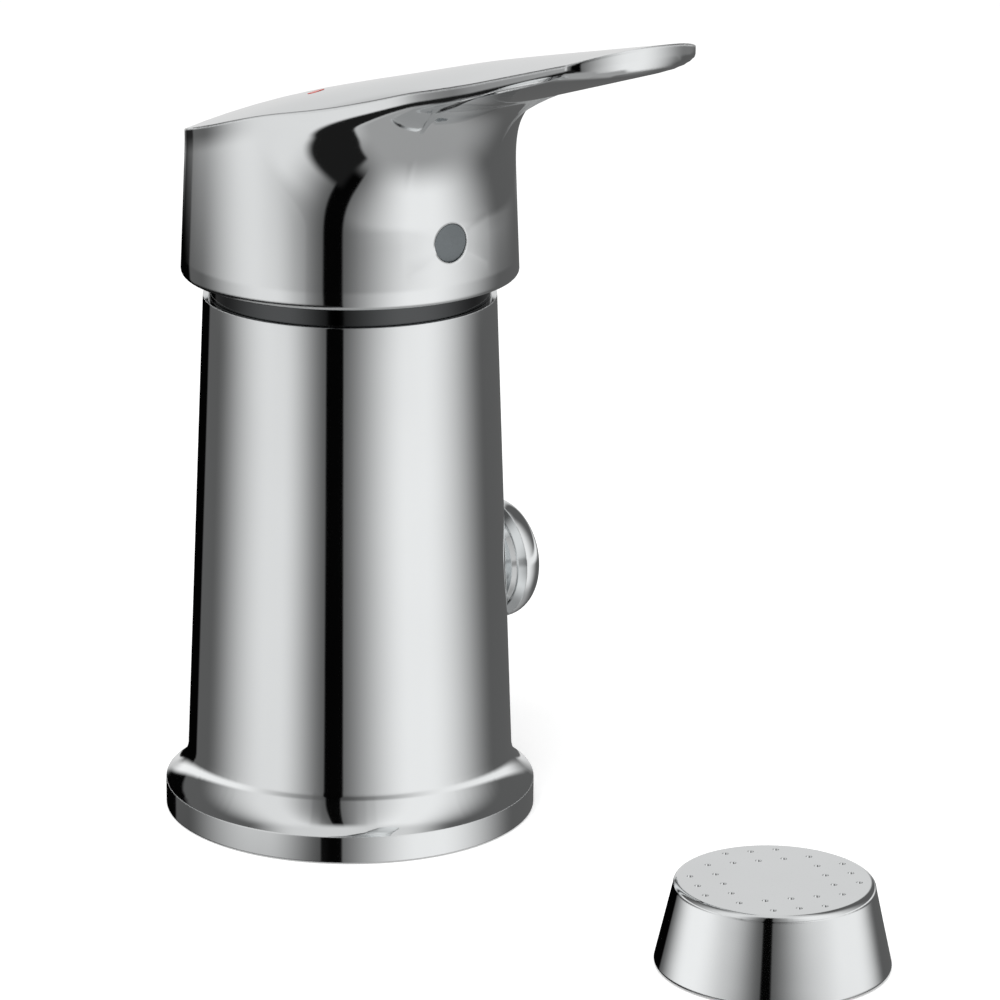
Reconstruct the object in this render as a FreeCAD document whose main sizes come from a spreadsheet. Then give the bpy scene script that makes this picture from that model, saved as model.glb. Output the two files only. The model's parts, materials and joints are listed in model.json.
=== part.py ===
"""Single-lever bidet mixer with a pull-out diverter and a separate vertical spray rose.

Millimetres. The origin is the column's axis on the deck, +Z is up, the lever points
towards -Y and the diverter knob towards +X.
"""
import FreeCAD, Part
import math
import os

import Sketcher

doc = FreeCAD.newDocument("BidetMixer")
sheet = doc.addObject("Spreadsheet::Sheet", "Sizes")

# Driving dimensions
SIZES = {
    # column and flange
    "flange_radius": 27.0,
    "flange_rim": 3.8,
    "flare_radius": 6.5,
    "foot_radius": 23.65,
    "foot_height": 9.6,
    "column_height": 76.6,
    "column_wall": 1.7,
    "gasket_inner_radius": 19.6,
    "gasket_margin": 2.0,
    "gasket_thickness": 1.6,
    # ports in the underside
    "stud_hole_radius": 3.4,
    "stud_hole_depth": 16.0,
    "port_radius": 4.5,
    "port_depth": 11.0,
    "inlet_spread": 8.0,
    "inlet_front": 10.0,
    "rim_outlet_right": 9.5,
    "rose_outlet_left": 8.0,
    "outlet_back": 7.5,
    "passage_radius": 1.9,
    "inlet_passage_spread": 6.2,
    "inlet_passage_front": 8.8,
    "outlet_passage_back": 4.4,
    # cartridge
    "cartridge_radius": 17.5,
    "cartridge_depth": 28.6,
    "nut_thread": 1.7,
    "cartridge_base_height": 4.0,
    "inlet_way_spread": 5.0,
    "inlet_way_front": 6.4,
    "inlet_way_radius": 1.7,
    "outlet_way_back": 1.6,
    "outlet_way_radius": 2.0,
    "seal_spread": 5.6,
    "seal_front": 7.6,
    "seal_inner_radius": 3.3,
    "seal_outer_radius": 4.4,
    "seal_height": 1.3,
    "fixed_disc_margin": 1.2,
    "fixed_disc_height": 3.5,
    "moving_disc_radius": 10.6,
    "moving_disc_height": 3.0,
    "mixing_pocket_radius": 6.0,
    "mixing_pocket_depth": 1.6,
    "carrier_height": 5.4,
    "carrier_top_radius": 7.4,
    "housing_wall": 2.3,
    "housing_roof": 1.7,
    "housing_neck_wall": 2.55,
    "housing_neck_length": 9.8,
    "turret_margin": 1.0,
    "turret_flange_height": 3.6,
    "turret_neck_radius": 9.6,
    "turret_wall": 1.5,
    "turret_rise": 0.8,
    "pivot_rise": 4.15,
    "stem_width": 6.6,
    "stem_depth": 7.6,
    "stem_reach": 1.8,
    "ball_radius": 2.7,
    "ball_sink": 1.45,
    "stem_neck_radius": 2.0,
    "pin_radius": 1.5,
    "nut_clearance": 0.4,
    "nut_wall": 1.9,
    "nut_hex_height": 3.0,
    "dome_inset": 0.8,
    "dome_wall_height": 4.0,
    "dome_height": 7.0,
    "dome_eye_radius": 15.6,
    "dome_crown_radius": 5.3,
    "dome_thickness": 1.1,
    # lever
    "groove_height": 3.2,
    "cap_overhang": 3.15,
    "cap_taper": 2.46,
    "cap_wall": 2.25,
    "cap_edge": 0.7,
    "cap_skirt_height": 2.0,
    "cap_hollow": 12.4,
    "sweep_rise": 10.8,
    "sweep_radius": 19.5,
    "underside_angle": 18.4,
    "rim_rise": 23.7,
    "rim_slope": 0.253,
    "crest_height": 2.95,
    "crown_half_width": 13.9,
    "neck_turn": 51.0,
    "nose_turn": 33.0,
    "blade_reach": 66.8,
    "rim_edge": 0.45,
    "boss_radius": 8.4,
    "boss_drop": 6.2,
    "screw_rise": 8.5,
    "screw_radius": 2.5,
    "cover_radius": 2.75,
    "cover_recess": 0.2,
    "cover_thickness": 2.0,
    "cover_collar": 1.4,
    "grub_socket_radius": 1.25,
    "grub_socket_depth": 2.0,
    "mark_side": 9.7,
    "mark_front": 5.3,
    "mark_width": 1.5,
    "mark_length": 3.4,
    "mark_depth": 0.6,
    # diverter
    "knob_height": 32.4,
    "chamber_radius": 5.5,
    "seat_bore_radius": 3.9,
    "chamber_end": 11.0,
    "left_seat": 4.0,
    "valve_travel": 5.4,
    "seat_ring_length": 1.6,
    "bonnet_radius": 7.0,
    "bonnet_start": 14.0,
    "bonnet_end": 23.7,
    "bonnet_cone_length": 1.2,
    "bonnet_cone_radius": 5.3,
    "bonnet_washer": 1.0,
    "spindle_radius": 3.0,
    "rod_radius": 1.6,
    "spring_rod_radius": 2.0,
    "knob_seat_radius": 2.05,
    "tapped_radius": 1.2,
    "tapped_depth": 4.0,
    "valve_margin": 0.6,
    "valve_disc_thickness": 1.4,
    "valve_washer_thickness": 1.2,
    "valve_nut_radius": 2.65,
    "valve_nut_length": 2.1,
    "collar_margin": 0.4,
    "collar_length": 1.0,
    "oring_section": 0.96,
    "oring_pitch": 2.6,
    "spring_wire": 0.6,
    "spring_radius": 2.75,
    "spring_turns": 6.0,
    "knob_gap": 0.4,
    "knob_back_radius": 7.3,
    "knob_radius": 8.95,
    "knob_length": 5.3,
    "knob_step": 0.7,
    "knob_flank": 1.6,
    "knob_flank_radius": 3.3,
    "knob_front_radius": 6.85,
    "knob_screw_recess": 2.2,
    "knob_cap_radius": 3.6,
    "knob_cap_thickness": 0.9,
    # spray rose
    "rose_x": 8.3,
    "rose_y": 84.9,
    "rose_radius": 15.9,
    "rose_top_radius": 13.35,
    "rose_height": 11.8,
    "rose_edge": 0.9,
    "rose_foot_edge": 0.4,
    "rose_top_wall": 1.5,
    "rose_bore_radius": 12.4,
    "rose_bore_depth": 8.6,
    "rose_gasket_thickness": 1.2,
    "rose_gasket_inner_radius": 13.2,
    "rose_gasket_outer_radius": 14.9,
    "rose_thread_radius": 9.4,
    "rose_thread_depth": 4.6,
    "insert_height": 7.2,
    "insert_throat_radius": 7.4,
    "rose_seal_radius": 9.0,
    "rose_seal_thickness": 1.0,
    "flow_disc_thickness": 0.9,
    "flow_hole_radius": 0.9,
    "spray_hole_radius": 0.4,
    "spray_pitch": 3.56,
    "spray_turn": 23.4,
    # clearances, and how far a cutting shape reaches past what it cuts
    "cut_lap": 1.0,
    "fit_gap": 0.1,
    "running_gap": 0.05,
    "free_gap": 0.3,
}


class Size:
    """A length with its number and the expression that ties it to the sheet."""

    def __init__(self, number, text):
        self.number = float(number)
        self.text = text

    def __add__(self, other):
        return combine(self, "+", other, self.number + as_size(other).number)

    def __radd__(self, other):
        return as_size(other) + self

    def __sub__(self, other):
        return combine(self, "-", other, self.number - as_size(other).number)

    def __rsub__(self, other):
        return as_size(other) - self

    def __mul__(self, other):
        return combine(self, "*", other, self.number * as_size(other).number)

    def __rmul__(self, other):
        return as_size(other) * self

    def __truediv__(self, other):
        return combine(self, "/", other, self.number / as_size(other).number)

    def __neg__(self):
        return as_size(0) - self


def as_size(value):
    return value if isinstance(value, Size) else Size(value, repr(float(value)))


def combine(left, sign, right, number):
    return Size(number, "(%s %s %s)" % (as_size(left).text, sign, as_size(right).text))


def root(size):
    return Size(math.sqrt(size.number), "sqrt(%s)" % size.text)


def sine(angle):
    return Size(math.sin(math.radians(angle.number)), "sin(%s * 1 deg)" % angle.text)


def cosine(angle):
    return Size(math.cos(math.radians(angle.number)), "cos(%s * 1 deg)" % angle.text)


def tangent(angle):
    return sine(angle) / cosine(angle)


for row, (alias, number) in enumerate(SIZES.items(), start=1):
    sheet.set("A%d" % row, alias)
    sheet.set("B%d" % row, str(number))
    sheet.setAlias("B%d" % row, alias)
doc.recompute()

S = {alias: Size(number, "Sizes." + alias) for alias, number in SIZES.items()}
NODES = []


def named(alias, size):
    """Give a derived length a cell of its own in the sheet."""
    row = len(S) + 1
    sheet.set("A%d" % row, alias)
    sheet.set("B%d" % row, "=" + size.text.replace("Sizes.", ""))
    sheet.setAlias("B%d" % row, alias)
    S[alias] = Size(size.number, "Sizes." + alias)
    return S[alias]


def keep(node, label):
    """Register an object as one sub-part; its label names its file."""
    node.Label = label
    NODES.append(node)
    return node


def place(node, x=0, y=0, z=0):
    for axis, value in zip("xyz", (x, y, z)):
        node.setExpression("Placement.Base." + axis, as_size(value).text)
    return node


def set_plane(sketch, body, role):
    plane = [item for item in body.Origin.OriginFeatures if item.Role == role][0]
    sketch.AttachmentSupport = [(plane, "")]
    sketch.MapMode = "FlatFace"


def arc_between(start, end, radius, left):
    """Arc from start to end whose centre lies left (or right) of the chord."""
    sx, sy = start
    ex, ey = end
    chord = math.hypot(ex - sx, ey - sy)
    height = math.sqrt(max(radius * radius - chord * chord / 4, 0.0))
    side = 1 if left else -1
    cx = (sx + ex) / 2 - side * (ey - sy) / chord * height
    cy = (sy + ey) / 2 + side * (ex - sx) / chord * height
    first = math.atan2(sy - cy, sx - cx)
    last = math.atan2(ey - cy, ex - cx)
    if not left:
        first, last = last, first
    circle = Part.Circle(FreeCAD.Vector(cx, cy, 0), FreeCAD.Vector(0, 0, 1), radius)
    return Part.ArcOfCircle(circle, first, last)


def outline(sketch, corners):
    """Closed outline. A corner is (x, y), or (x, y, radius, "left" or "right") where
    an arc of that radius leads on to the next corner."""
    flat = [(as_size(corner[0]).number, as_size(corner[1]).number) for corner in corners]
    starts = []
    ends = []
    for index, corner in enumerate(corners):
        here = flat[index]
        there = flat[(index + 1) % len(flat)]
        if len(corner) == 2:
            segment = Part.LineSegment(FreeCAD.Vector(*here, 0), FreeCAD.Vector(*there, 0))
            geo = sketch.addGeometry(segment, False)
            starts.append((geo, 1))
            ends.append((geo, 2))
        else:
            left = corner[3] == "left"
            arc = arc_between(here, there, as_size(corner[2]).number, left)
            geo = sketch.addGeometry(arc, False)
            starts.append((geo, 1 if left else 2))
            ends.append((geo, 2 if left else 1))
            bind(sketch, Sketcher.Constraint("Radius", geo, as_size(corner[2]).number), corner[2])
    for index, corner in enumerate(corners):
        geo, point = starts[index]
        last_geo, last_point = ends[index - 1]
        sketch.addConstraint(Sketcher.Constraint("Coincident", last_geo, last_point, geo, point))
        for kind, value in (("DistanceX", corner[0]), ("DistanceY", corner[1])):
            number = as_size(value).number
            if isinstance(value, Size):
                bind(sketch, Sketcher.Constraint(kind, -1, 1, geo, point, number), value)
            else:
                sketch.addConstraint(Sketcher.Constraint(kind, -1, 1, geo, point, number))


def bind(sketch, constraint, size):
    index = sketch.addConstraint(constraint)
    sketch.setExpression("Constraints[%d]" % index, as_size(size).text)


def circle(sketch, x, y, radius):
    x, y, radius = as_size(x), as_size(y), as_size(radius)
    centre = FreeCAD.Vector(x.number, y.number, 0)
    shape = Part.Circle(centre, FreeCAD.Vector(0, 0, 1), radius.number)
    geo = sketch.addGeometry(shape, False)
    bind(sketch, Sketcher.Constraint("Radius", geo, radius.number), radius)
    bind(sketch, Sketcher.Constraint("DistanceX", -1, 1, geo, 3, x.number), x)
    bind(sketch, Sketcher.Constraint("DistanceY", -1, 1, geo, 3, y.number), y)


def new_body(name):
    return doc.addObject("PartDesign::Body", name)


def new_sketch(body, name, role="XY_Plane", lift=None):
    sketch = body.newObject("Sketcher::SketchObject", name)
    set_plane(sketch, body, role)
    if lift is not None:
        axis = "z" if role == "XY_Plane" else "y"
        sketch.setExpression("AttachmentOffset.Base." + axis, as_size(lift).text)
    return sketch


def revolve(body, name, corners, axis="V_Axis", cut=False, lift=None):
    """Turn an outline drawn in the XZ plane about that sketch's own axis."""
    sketch = new_sketch(body, name + "_profile", "XZ_Plane", lift)
    outline(sketch, corners)
    kind = "PartDesign::Groove" if cut else "PartDesign::Revolution"
    feature = body.newObject(kind, name)
    feature.Profile = sketch
    feature.ReferenceAxis = (sketch, [axis])
    feature.Angle = 360.0
    body.Tip = feature
    return feature


def turned(label, corners, axis="V_Axis"):
    """A piece made in one go on a lathe."""
    body = new_body(label + "_body")
    revolve(body, label + "_turn", corners, axis)
    return keep(body, label)


def drill(body, name, holes, depth, up=True, lift=None):
    """Round holes, each (x, y, radius), cut from the XY plane or from a lifted copy."""
    sketch = new_sketch(body, name + "_sketch", "XY_Plane", lift)
    for x, y, radius in holes:
        circle(sketch, x, y, radius)
    pocket = body.newObject("PartDesign::Pocket", name)
    pocket.Profile = sketch
    pocket.Reversed = up
    pocket.setExpression("Length", as_size(depth).text)
    body.Tip = pocket
    return pocket


def pad(body, name, corners, height, role="XY_Plane", lift=None, both=False):
    sketch = new_sketch(body, name + "_sketch", role, lift)
    outline(sketch, corners)
    feature = body.newObject("PartDesign::Pad", name)
    feature.Profile = sketch
    feature.setExpression("Length", as_size(height).text)
    feature.Midplane = both
    body.Tip = feature
    return feature


def ring(inner, outer, low, high):
    return [(inner, low), (outer, low), (outer, high), (inner, high)]


def boolean(kind, name, base, tool):
    feature = doc.addObject("Part::" + kind, name)
    feature.Base = base
    feature.Tool = tool
    return feature


def helper(kind, name, **sizes):
    feature = doc.addObject(kind, name)
    for prop, value in sizes.items():
        feature.setExpression(prop, as_size(value).text)
    return feature


# Radii, heights and places that follow from other sizes
nut_radius = named("nut_radius", S["cartridge_radius"] + S["nut_thread"])
column_top_radius = named("column_top_radius", nut_radius + S["fit_gap"] + S["column_wall"])
cap_radius = named("cap_radius", column_top_radius + S["cap_overhang"])
gasket_radius = named("gasket_radius", S["flange_radius"] - S["gasket_margin"])
cartridge_bore = named("cartridge_bore", S["cartridge_radius"] + S["fit_gap"])
housing_inner_radius = named("housing_inner_radius", S["cartridge_radius"] - S["housing_wall"])
housing_neck_bore = named("housing_neck_bore", S["turret_neck_radius"] + S["running_gap"])
housing_neck_radius = named("housing_neck_radius", housing_neck_bore + S["housing_neck_wall"])
nut_bore_radius = named("nut_bore_radius", housing_neck_radius + S["nut_clearance"])
seat_height = named("seat_height", S["column_height"] - S["cartridge_depth"])
cartridge_base_top = named("cartridge_base_top", seat_height + S["cartridge_base_height"])
fixed_disc_top = named("fixed_disc_top", cartridge_base_top + S["fixed_disc_height"])
moving_disc_bottom = named("moving_disc_bottom", fixed_disc_top + S["running_gap"])
moving_disc_top = named("moving_disc_top", moving_disc_bottom + S["moving_disc_height"])
carrier_top = named("carrier_top", moving_disc_top + S["carrier_height"])
ball_centre = named("ball_centre", carrier_top - S["ball_sink"])
turret_bottom = named("turret_bottom", carrier_top + S["free_gap"])
turret_flange_top = named("turret_flange_top", turret_bottom + S["turret_flange_height"])
pivot_height = named("pivot_height", turret_flange_top + S["pivot_rise"])
housing_ceiling = named("housing_ceiling", turret_flange_top + S["running_gap"])
housing_shoulder = named("housing_shoulder", housing_ceiling + S["housing_roof"])
housing_neck_top = named("housing_neck_top", housing_shoulder + S["housing_neck_length"])
turret_top = named("turret_top", housing_neck_top + S["turret_rise"])
cap_bottom = named("cap_bottom", S["column_height"] + S["groove_height"])
cap_slope = named("cap_slope", tangent(S["cap_taper"]))
cap_inner_radius = named("cap_inner_radius", cap_radius - S["cap_wall"])
hollow_top = named("hollow_top", cap_bottom + S["cap_hollow"])
boss_bottom = named("boss_bottom", hollow_top - S["boss_drop"])
stem_top = named("stem_top", hollow_top + S["stem_reach"])
sweep_height = named("sweep_height", cap_bottom + S["sweep_rise"])
rim_height = named("rim_height", cap_bottom + S["rim_rise"])
screw_height = named("screw_height", cap_bottom + S["screw_rise"])
sweep_start_radius = named("sweep_start_radius", cap_radius - cap_slope * S["sweep_rise"])
spindle_bore = S["spindle_radius"] + S["running_gap"]
valve_disc_radius = S["chamber_radius"] - S["valve_margin"]
collar_radius = S["seat_bore_radius"] - S["collar_margin"]
knob_start = S["bonnet_end"] + S["knob_gap"]
valve_face = -S["left_seat"] + S["fit_gap"]
valve_disc_start = valve_face + S["valve_washer_thickness"]
valve_disc_end = valve_disc_start + S["valve_disc_thickness"]
valve_washer_end = valve_disc_end + S["valve_washer_thickness"]
collar_end = valve_washer_end + S["collar_length"]
right_seat = valve_washer_end + S["valve_travel"] + S["fit_gap"]
spindle_end = knob_start + S["knob_length"] - S["knob_screw_recess"]


def mixer_body():
    """Cast column with flared foot, cartridge bore, diverter bore and ports."""
    body = new_body("mixer_body_body")
    revolve(body, "column", [
        (0, 0),
        (S["gasket_inner_radius"], 0),
        (S["gasket_inner_radius"], S["gasket_thickness"]),
        (gasket_radius, S["gasket_thickness"]),
        (gasket_radius, 0),
        (S["flange_radius"], 0),
        (S["flange_radius"], S["flange_rim"], S["flare_radius"], "right"),
        (S["foot_radius"], S["foot_height"]),
        (column_top_radius, S["column_height"]),
        (nut_radius + S["fit_gap"], S["column_height"]),
        (nut_radius + S["fit_gap"], housing_shoulder),
        (cartridge_bore, housing_shoulder),
        (cartridge_bore, seat_height),
        (0, seat_height),
    ])
    drill(body, "ports", [
        (0, 0, S["stud_hole_radius"]),
        (-S["inlet_spread"], -S["inlet_front"], S["port_radius"]),
        (S["inlet_spread"], -S["inlet_front"], S["port_radius"]),
        (-S["rose_outlet_left"], S["outlet_back"], S["port_radius"]),
        (S["rim_outlet_right"], S["outlet_back"], S["port_radius"]),
    ], S["port_depth"])
    drill(body, "stud_bore", [(0, 0, S["stud_hole_radius"])],
          S["stud_hole_depth"])
    drill(body, "inlet_passages", [
        (-S["inlet_passage_spread"], -S["inlet_passage_front"], S["passage_radius"]),
        (S["inlet_passage_spread"], -S["inlet_passage_front"], S["passage_radius"]),
    ], seat_height)
    drill(body, "outlet_passages", [
        (-S["rose_outlet_left"], S["outlet_passage_back"], S["passage_radius"]),
        (S["rim_outlet_right"], S["outlet_passage_back"], S["passage_radius"]),
    ], S["knob_height"])
    drill(body, "mixed_passage",
          [(0, S["outlet_way_back"], S["outlet_way_radius"])],
          seat_height - S["knob_height"], up=False, lift=seat_height)
    revolve(body, "diverter_bore", [
        (-S["chamber_end"], 0),
        (S["flange_radius"], 0),
        (S["flange_radius"], S["bonnet_radius"] + S["fit_gap"]),
        (S["bonnet_start"] - S["bonnet_washer"], S["bonnet_radius"] + S["fit_gap"]),
        (S["bonnet_start"] - S["bonnet_washer"], S["chamber_radius"]),
        (-S["left_seat"], S["chamber_radius"]),
        (-S["left_seat"], S["seat_bore_radius"]),
        (-S["chamber_end"], S["seat_bore_radius"]),
    ], "H_Axis", cut=True, lift=S["knob_height"])
    keep(body, "mixer_body")


def base_gasket():
    turned("base_gasket", ring(S["gasket_inner_radius"] + S["fit_gap"],
                               gasket_radius - S["fit_gap"], 0, S["gasket_thickness"]))


def cartridge_ways():
    """Two inlets towards the lever and the outlet behind them."""
    return [
        (-S["inlet_way_spread"], -S["inlet_way_front"], S["inlet_way_radius"]),
        (S["inlet_way_spread"], -S["inlet_way_front"], S["inlet_way_radius"]),
        (0, S["outlet_way_back"], S["outlet_way_radius"]),
    ]


def seal_places(radius):
    return [
        (-S["seal_spread"], -S["seal_front"], radius),
        (S["seal_spread"], -S["seal_front"], radius),
        (0, S["outlet_way_back"], radius),
    ]


def cartridge_base():
    body = new_body("cartridge_base_body")
    revolve(body, "base_disc", [
        (0, seat_height),
        (S["cartridge_radius"], seat_height),
        (S["cartridge_radius"], cartridge_base_top),
        (0, cartridge_base_top),
    ])
    drill(body, "base_ways", cartridge_ways(), S["cartridge_base_height"], lift=seat_height)
    drill(body, "seal_seats", seal_places(S["seal_outer_radius"]), S["seal_height"],
          lift=seat_height)
    keep(body, "cartridge_base")


def cartridge_seals():
    """Three rubber rings, one round each way through the base."""
    body = new_body("cartridge_seals_body")
    sketch = new_sketch(body, "seal_rings", "XY_Plane", seat_height)
    for x, y, radius in seal_places(S["seal_outer_radius"] - S["running_gap"]):
        circle(sketch, x, y, radius)
        circle(sketch, x, y, S["seal_inner_radius"])
    feature = body.newObject("PartDesign::Pad", "seals")
    feature.Profile = sketch
    feature.setExpression("Length", S["seal_height"].text)
    body.Tip = feature
    keep(body, "cartridge_seals")


def fixed_disc():
    body = new_body("fixed_disc_body")
    revolve(body, "fixed_plate", ring(0, housing_inner_radius - S["fixed_disc_margin"],
                                      cartridge_base_top, fixed_disc_top))
    drill(body, "fixed_ways", cartridge_ways(), S["fixed_disc_height"], lift=cartridge_base_top)
    keep(body, "fixed_disc")


def moving_disc():
    """Ceramic disc with the mixing pocket in its lower face."""
    body = new_body("moving_disc_body")
    revolve(body, "moving_plate",
            ring(0, S["moving_disc_radius"], moving_disc_bottom, moving_disc_top))
    drill(body, "mixing_pocket",
          [(0, 0, S["mixing_pocket_radius"])],
          S["mixing_pocket_depth"], lift=moving_disc_bottom)
    keep(body, "moving_disc")


def disc_carrier():
    socket_radius = S["ball_radius"] + S["free_gap"]
    socket_floor = ball_centre - socket_radius
    turned("disc_carrier", [
        (0, moving_disc_top),
        (S["moving_disc_radius"], moving_disc_top),
        (S["moving_disc_radius"], moving_disc_top + S["carrier_height"] / 2),
        (S["carrier_top_radius"], carrier_top),
        (socket_radius, carrier_top),
        (socket_radius, socket_floor),
        (0, socket_floor),
    ])


def cartridge_housing():
    turned("cartridge_housing", [
        (housing_inner_radius, cartridge_base_top),
        (S["cartridge_radius"], cartridge_base_top),
        (S["cartridge_radius"], housing_shoulder),
        (housing_neck_radius, housing_shoulder),
        (housing_neck_radius, housing_neck_top),
        (housing_neck_bore, housing_neck_top),
        (housing_neck_bore, housing_ceiling),
        (housing_inner_radius, housing_ceiling),
    ])


def turret():
    """Swivelling tower of the cartridge: a slot for the stem and a hole for its pin."""
    body = new_body("turret_body")
    flange = housing_inner_radius - S["turret_margin"]
    revolve(body, "tower", [
        (0, turret_bottom),
        (flange, turret_bottom),
        (flange, turret_flange_top),
        (S["turret_neck_radius"], turret_flange_top),
        (S["turret_neck_radius"], turret_top),
        (0, turret_top),
    ])
    half = S["stem_width"] / 2 + S["free_gap"]
    reach = S["turret_neck_radius"] - S["turret_wall"]
    sketch = new_sketch(body, "slot_sketch", "XY_Plane", turret_bottom)
    outline(sketch, [(-half, -reach), (half, -reach), (half, reach), (-half, reach)])
    slot = body.newObject("PartDesign::Pocket", "slot")
    slot.Profile = sketch
    slot.Reversed = True
    slot.setExpression("Length", (turret_top - turret_bottom).text)
    body.Tip = slot
    revolve(body, "pin_hole",
            sleeve(-S["turret_neck_radius"], S["turret_neck_radius"], 0, S["pin_radius"]),
            "H_Axis", cut=True, lift=pivot_height)
    keep(body, "turret")


def stem_pin():
    half_length = S["turret_neck_radius"] - S["fit_gap"] * 2
    pin = turned("stem_pin", sleeve(-half_length, half_length, 0, S["pin_radius"]), "H_Axis")
    place(pin, z=pivot_height)


def stem():
    """Square stem with the ball that drives the disc carrier, bored for its pin."""
    body = new_body("stem_body")
    neck = S["stem_neck_radius"]
    shoulder = pivot_height - S["stem_depth"] / 2
    neck_start = root(S["ball_radius"] * S["ball_radius"] - neck * neck)
    revolve(body, "ball_end", [
        (0, ball_centre - S["ball_radius"], S["ball_radius"], "left"),
        (neck, ball_centre + neck_start),
        (neck, shoulder + S["cut_lap"]),
        (0, shoulder + S["cut_lap"]),
    ])
    half_x = S["stem_width"] / 2
    half_y = S["stem_depth"] / 2
    pad(body, "square", [(-half_x, -half_y), (half_x, -half_y), (half_x, half_y), (-half_x, half_y)],
        stem_top - shoulder, lift=shoulder)
    bore = S["pin_radius"] + S["running_gap"]
    revolve(body, "stem_bore", sleeve(-half_x, half_x, 0, bore), "H_Axis", cut=True,
            lift=pivot_height)
    keep(body, "stem")


def cartridge_nut():
    """Threaded ring that clamps the cartridge, with a hexagon for the spanner."""
    body = new_body("cartridge_nut_body")
    low = housing_shoulder + S["running_gap"]
    revolve(body, "nut_ring", ring(nut_bore_radius, nut_radius, low, S["column_height"]))
    corner = (nut_bore_radius + S["nut_wall"]) * 2 / root(as_size(3))
    hexagon = []
    for step in range(6):
        angle = math.radians(60 * step)
        hexagon.append((corner * math.cos(angle), corner * math.sin(angle)))
    pad(body, "nut_hexagon", hexagon, S["nut_hex_height"], lift=S["column_height"])
    drill(body, "nut_bore", [(0, 0, nut_bore_radius)],
          S["nut_hex_height"], lift=S["column_height"])
    keep(body, "cartridge_nut")


def dome_ring():
    """Chrome ring that hides the nut and shows as the dark groove under the cap."""
    low = S["column_height"] + S["running_gap"]
    wall_top = S["column_height"] + S["dome_wall_height"]
    top = S["column_height"] + S["dome_height"]
    outer = column_top_radius - S["dome_inset"]
    inner = outer - S["dome_thickness"]
    crown = S["dome_crown_radius"]
    turned("dome_ring", [
        (inner, low),
        (outer, low),
        (outer, wall_top, crown, "left"),
        (S["dome_eye_radius"], top),
        (S["dome_eye_radius"], top - S["dome_thickness"], crown, "right"),
        (inner, wall_top - S["dome_thickness"] / 2),
    ])


# Plans up the cap's wall: share of the way from the skirt to the sweep
WALL_LEVELS = (0.0, 0.4, 0.8, 1.0)
# Plans along the sweep: turn on its arc from the cap's wall
SWEEP_LEVELS = (6, 12, 18, 25, 32, 40, 48, 57, 65)
# Plans under the blade: shares of the rise and of the way from the sweep's end to the tip,
# and share of the nose's turn that is left there
BLADE_LEVELS = (
    (0.0, 0.0, 1.0),
    (0.15, 0.15, 1.0),
    (0.35, 0.35, 1.0),
    (0.55, 0.56, 0.97),
    (0.74, 0.77, 0.9),
    (0.88, 0.92, 0.8),
    (1.0, 1.0, 0.7),
)
# Stations of the crowned top over the cap, as shares of the cap's radius
CAP_STATIONS = (-1.1, -0.75, -0.4, 0.0)
# Stations along the blade: share of its reach, share of the way from the blade's width
# back to the cap's, crest height and lip height over the rim edge
BLADE_STATIONS = (
    (0.16, 0.80, 3.00, 0.00),
    (0.32, 0.25, 3.02, 0.00),
    (0.50, 0.00, 3.00, 0.00),
    (0.68, 0.00, 2.62, 0.10),
    (0.84, -0.20, 2.20, 0.70),
    (1.04, -0.50, 1.60, 1.20),
)


def top_sections():
    """Stations of the crowned top: reach from the axis, radius of its arc, crest height."""
    cap = cap_radius - cap_slope * (rim_height - cap_bottom)
    blade = S["crown_half_width"] - cap_slope * (rim_height - sweep_height)
    edge = S["rim_edge"]
    dome = (cap * cap) / (as_size(2) * S["crest_height"])
    sections = []
    for share in CAP_STATIONS:
        reach = cap * share
        crest = edge + (cap * cap - reach * reach) / (dome * 2)
        sections.append((reach, dome, crest))
    for share, width, crest, lip in BLADE_STATIONS:
        half = blade + (cap - blade) * width
        rise = as_size(crest - lip)
        bend = (half * half + rise * rise) / (rise * 2)
        sections.append((S["blade_reach"] * share, bend, edge + crest))
    return sections


def crowned_top():
    """Everything below the crowned, tilted top of the lever, lofted from arcs."""
    half = cap_radius + S["cut_lap"] * 3
    depth = rim_height - S["column_height"]
    sketches = []
    for index, (reach, bend, crest) in enumerate(top_sections()):
        sketch = doc.addObject("Sketcher::SketchObject", "top_section_%d" % index)
        drop = bend - root(bend * bend - half * half)
        side = crest - drop
        sketch.Placement = FreeCAD.Placement(
            FreeCAD.Vector(0, 0, 0), FreeCAD.Rotation(FreeCAD.Vector(1, 0, 0), 90))
        sketch.setExpression("Placement.Base.y", (-reach).text)
        sketch.setExpression("Placement.Base.z", (rim_height + S["rim_slope"] * reach).text)
        outline(sketch, [
            (-half, -depth),
            (half, -depth),
            (half, side, bend, "left"),
            (-half, side),
        ])
        sketches.append(sketch)
    loft = doc.addObject("Part::Loft", "crowned_top")
    loft.Sections = sketches
    loft.Solid = True
    loft.Ruled = False
    return loft


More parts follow.
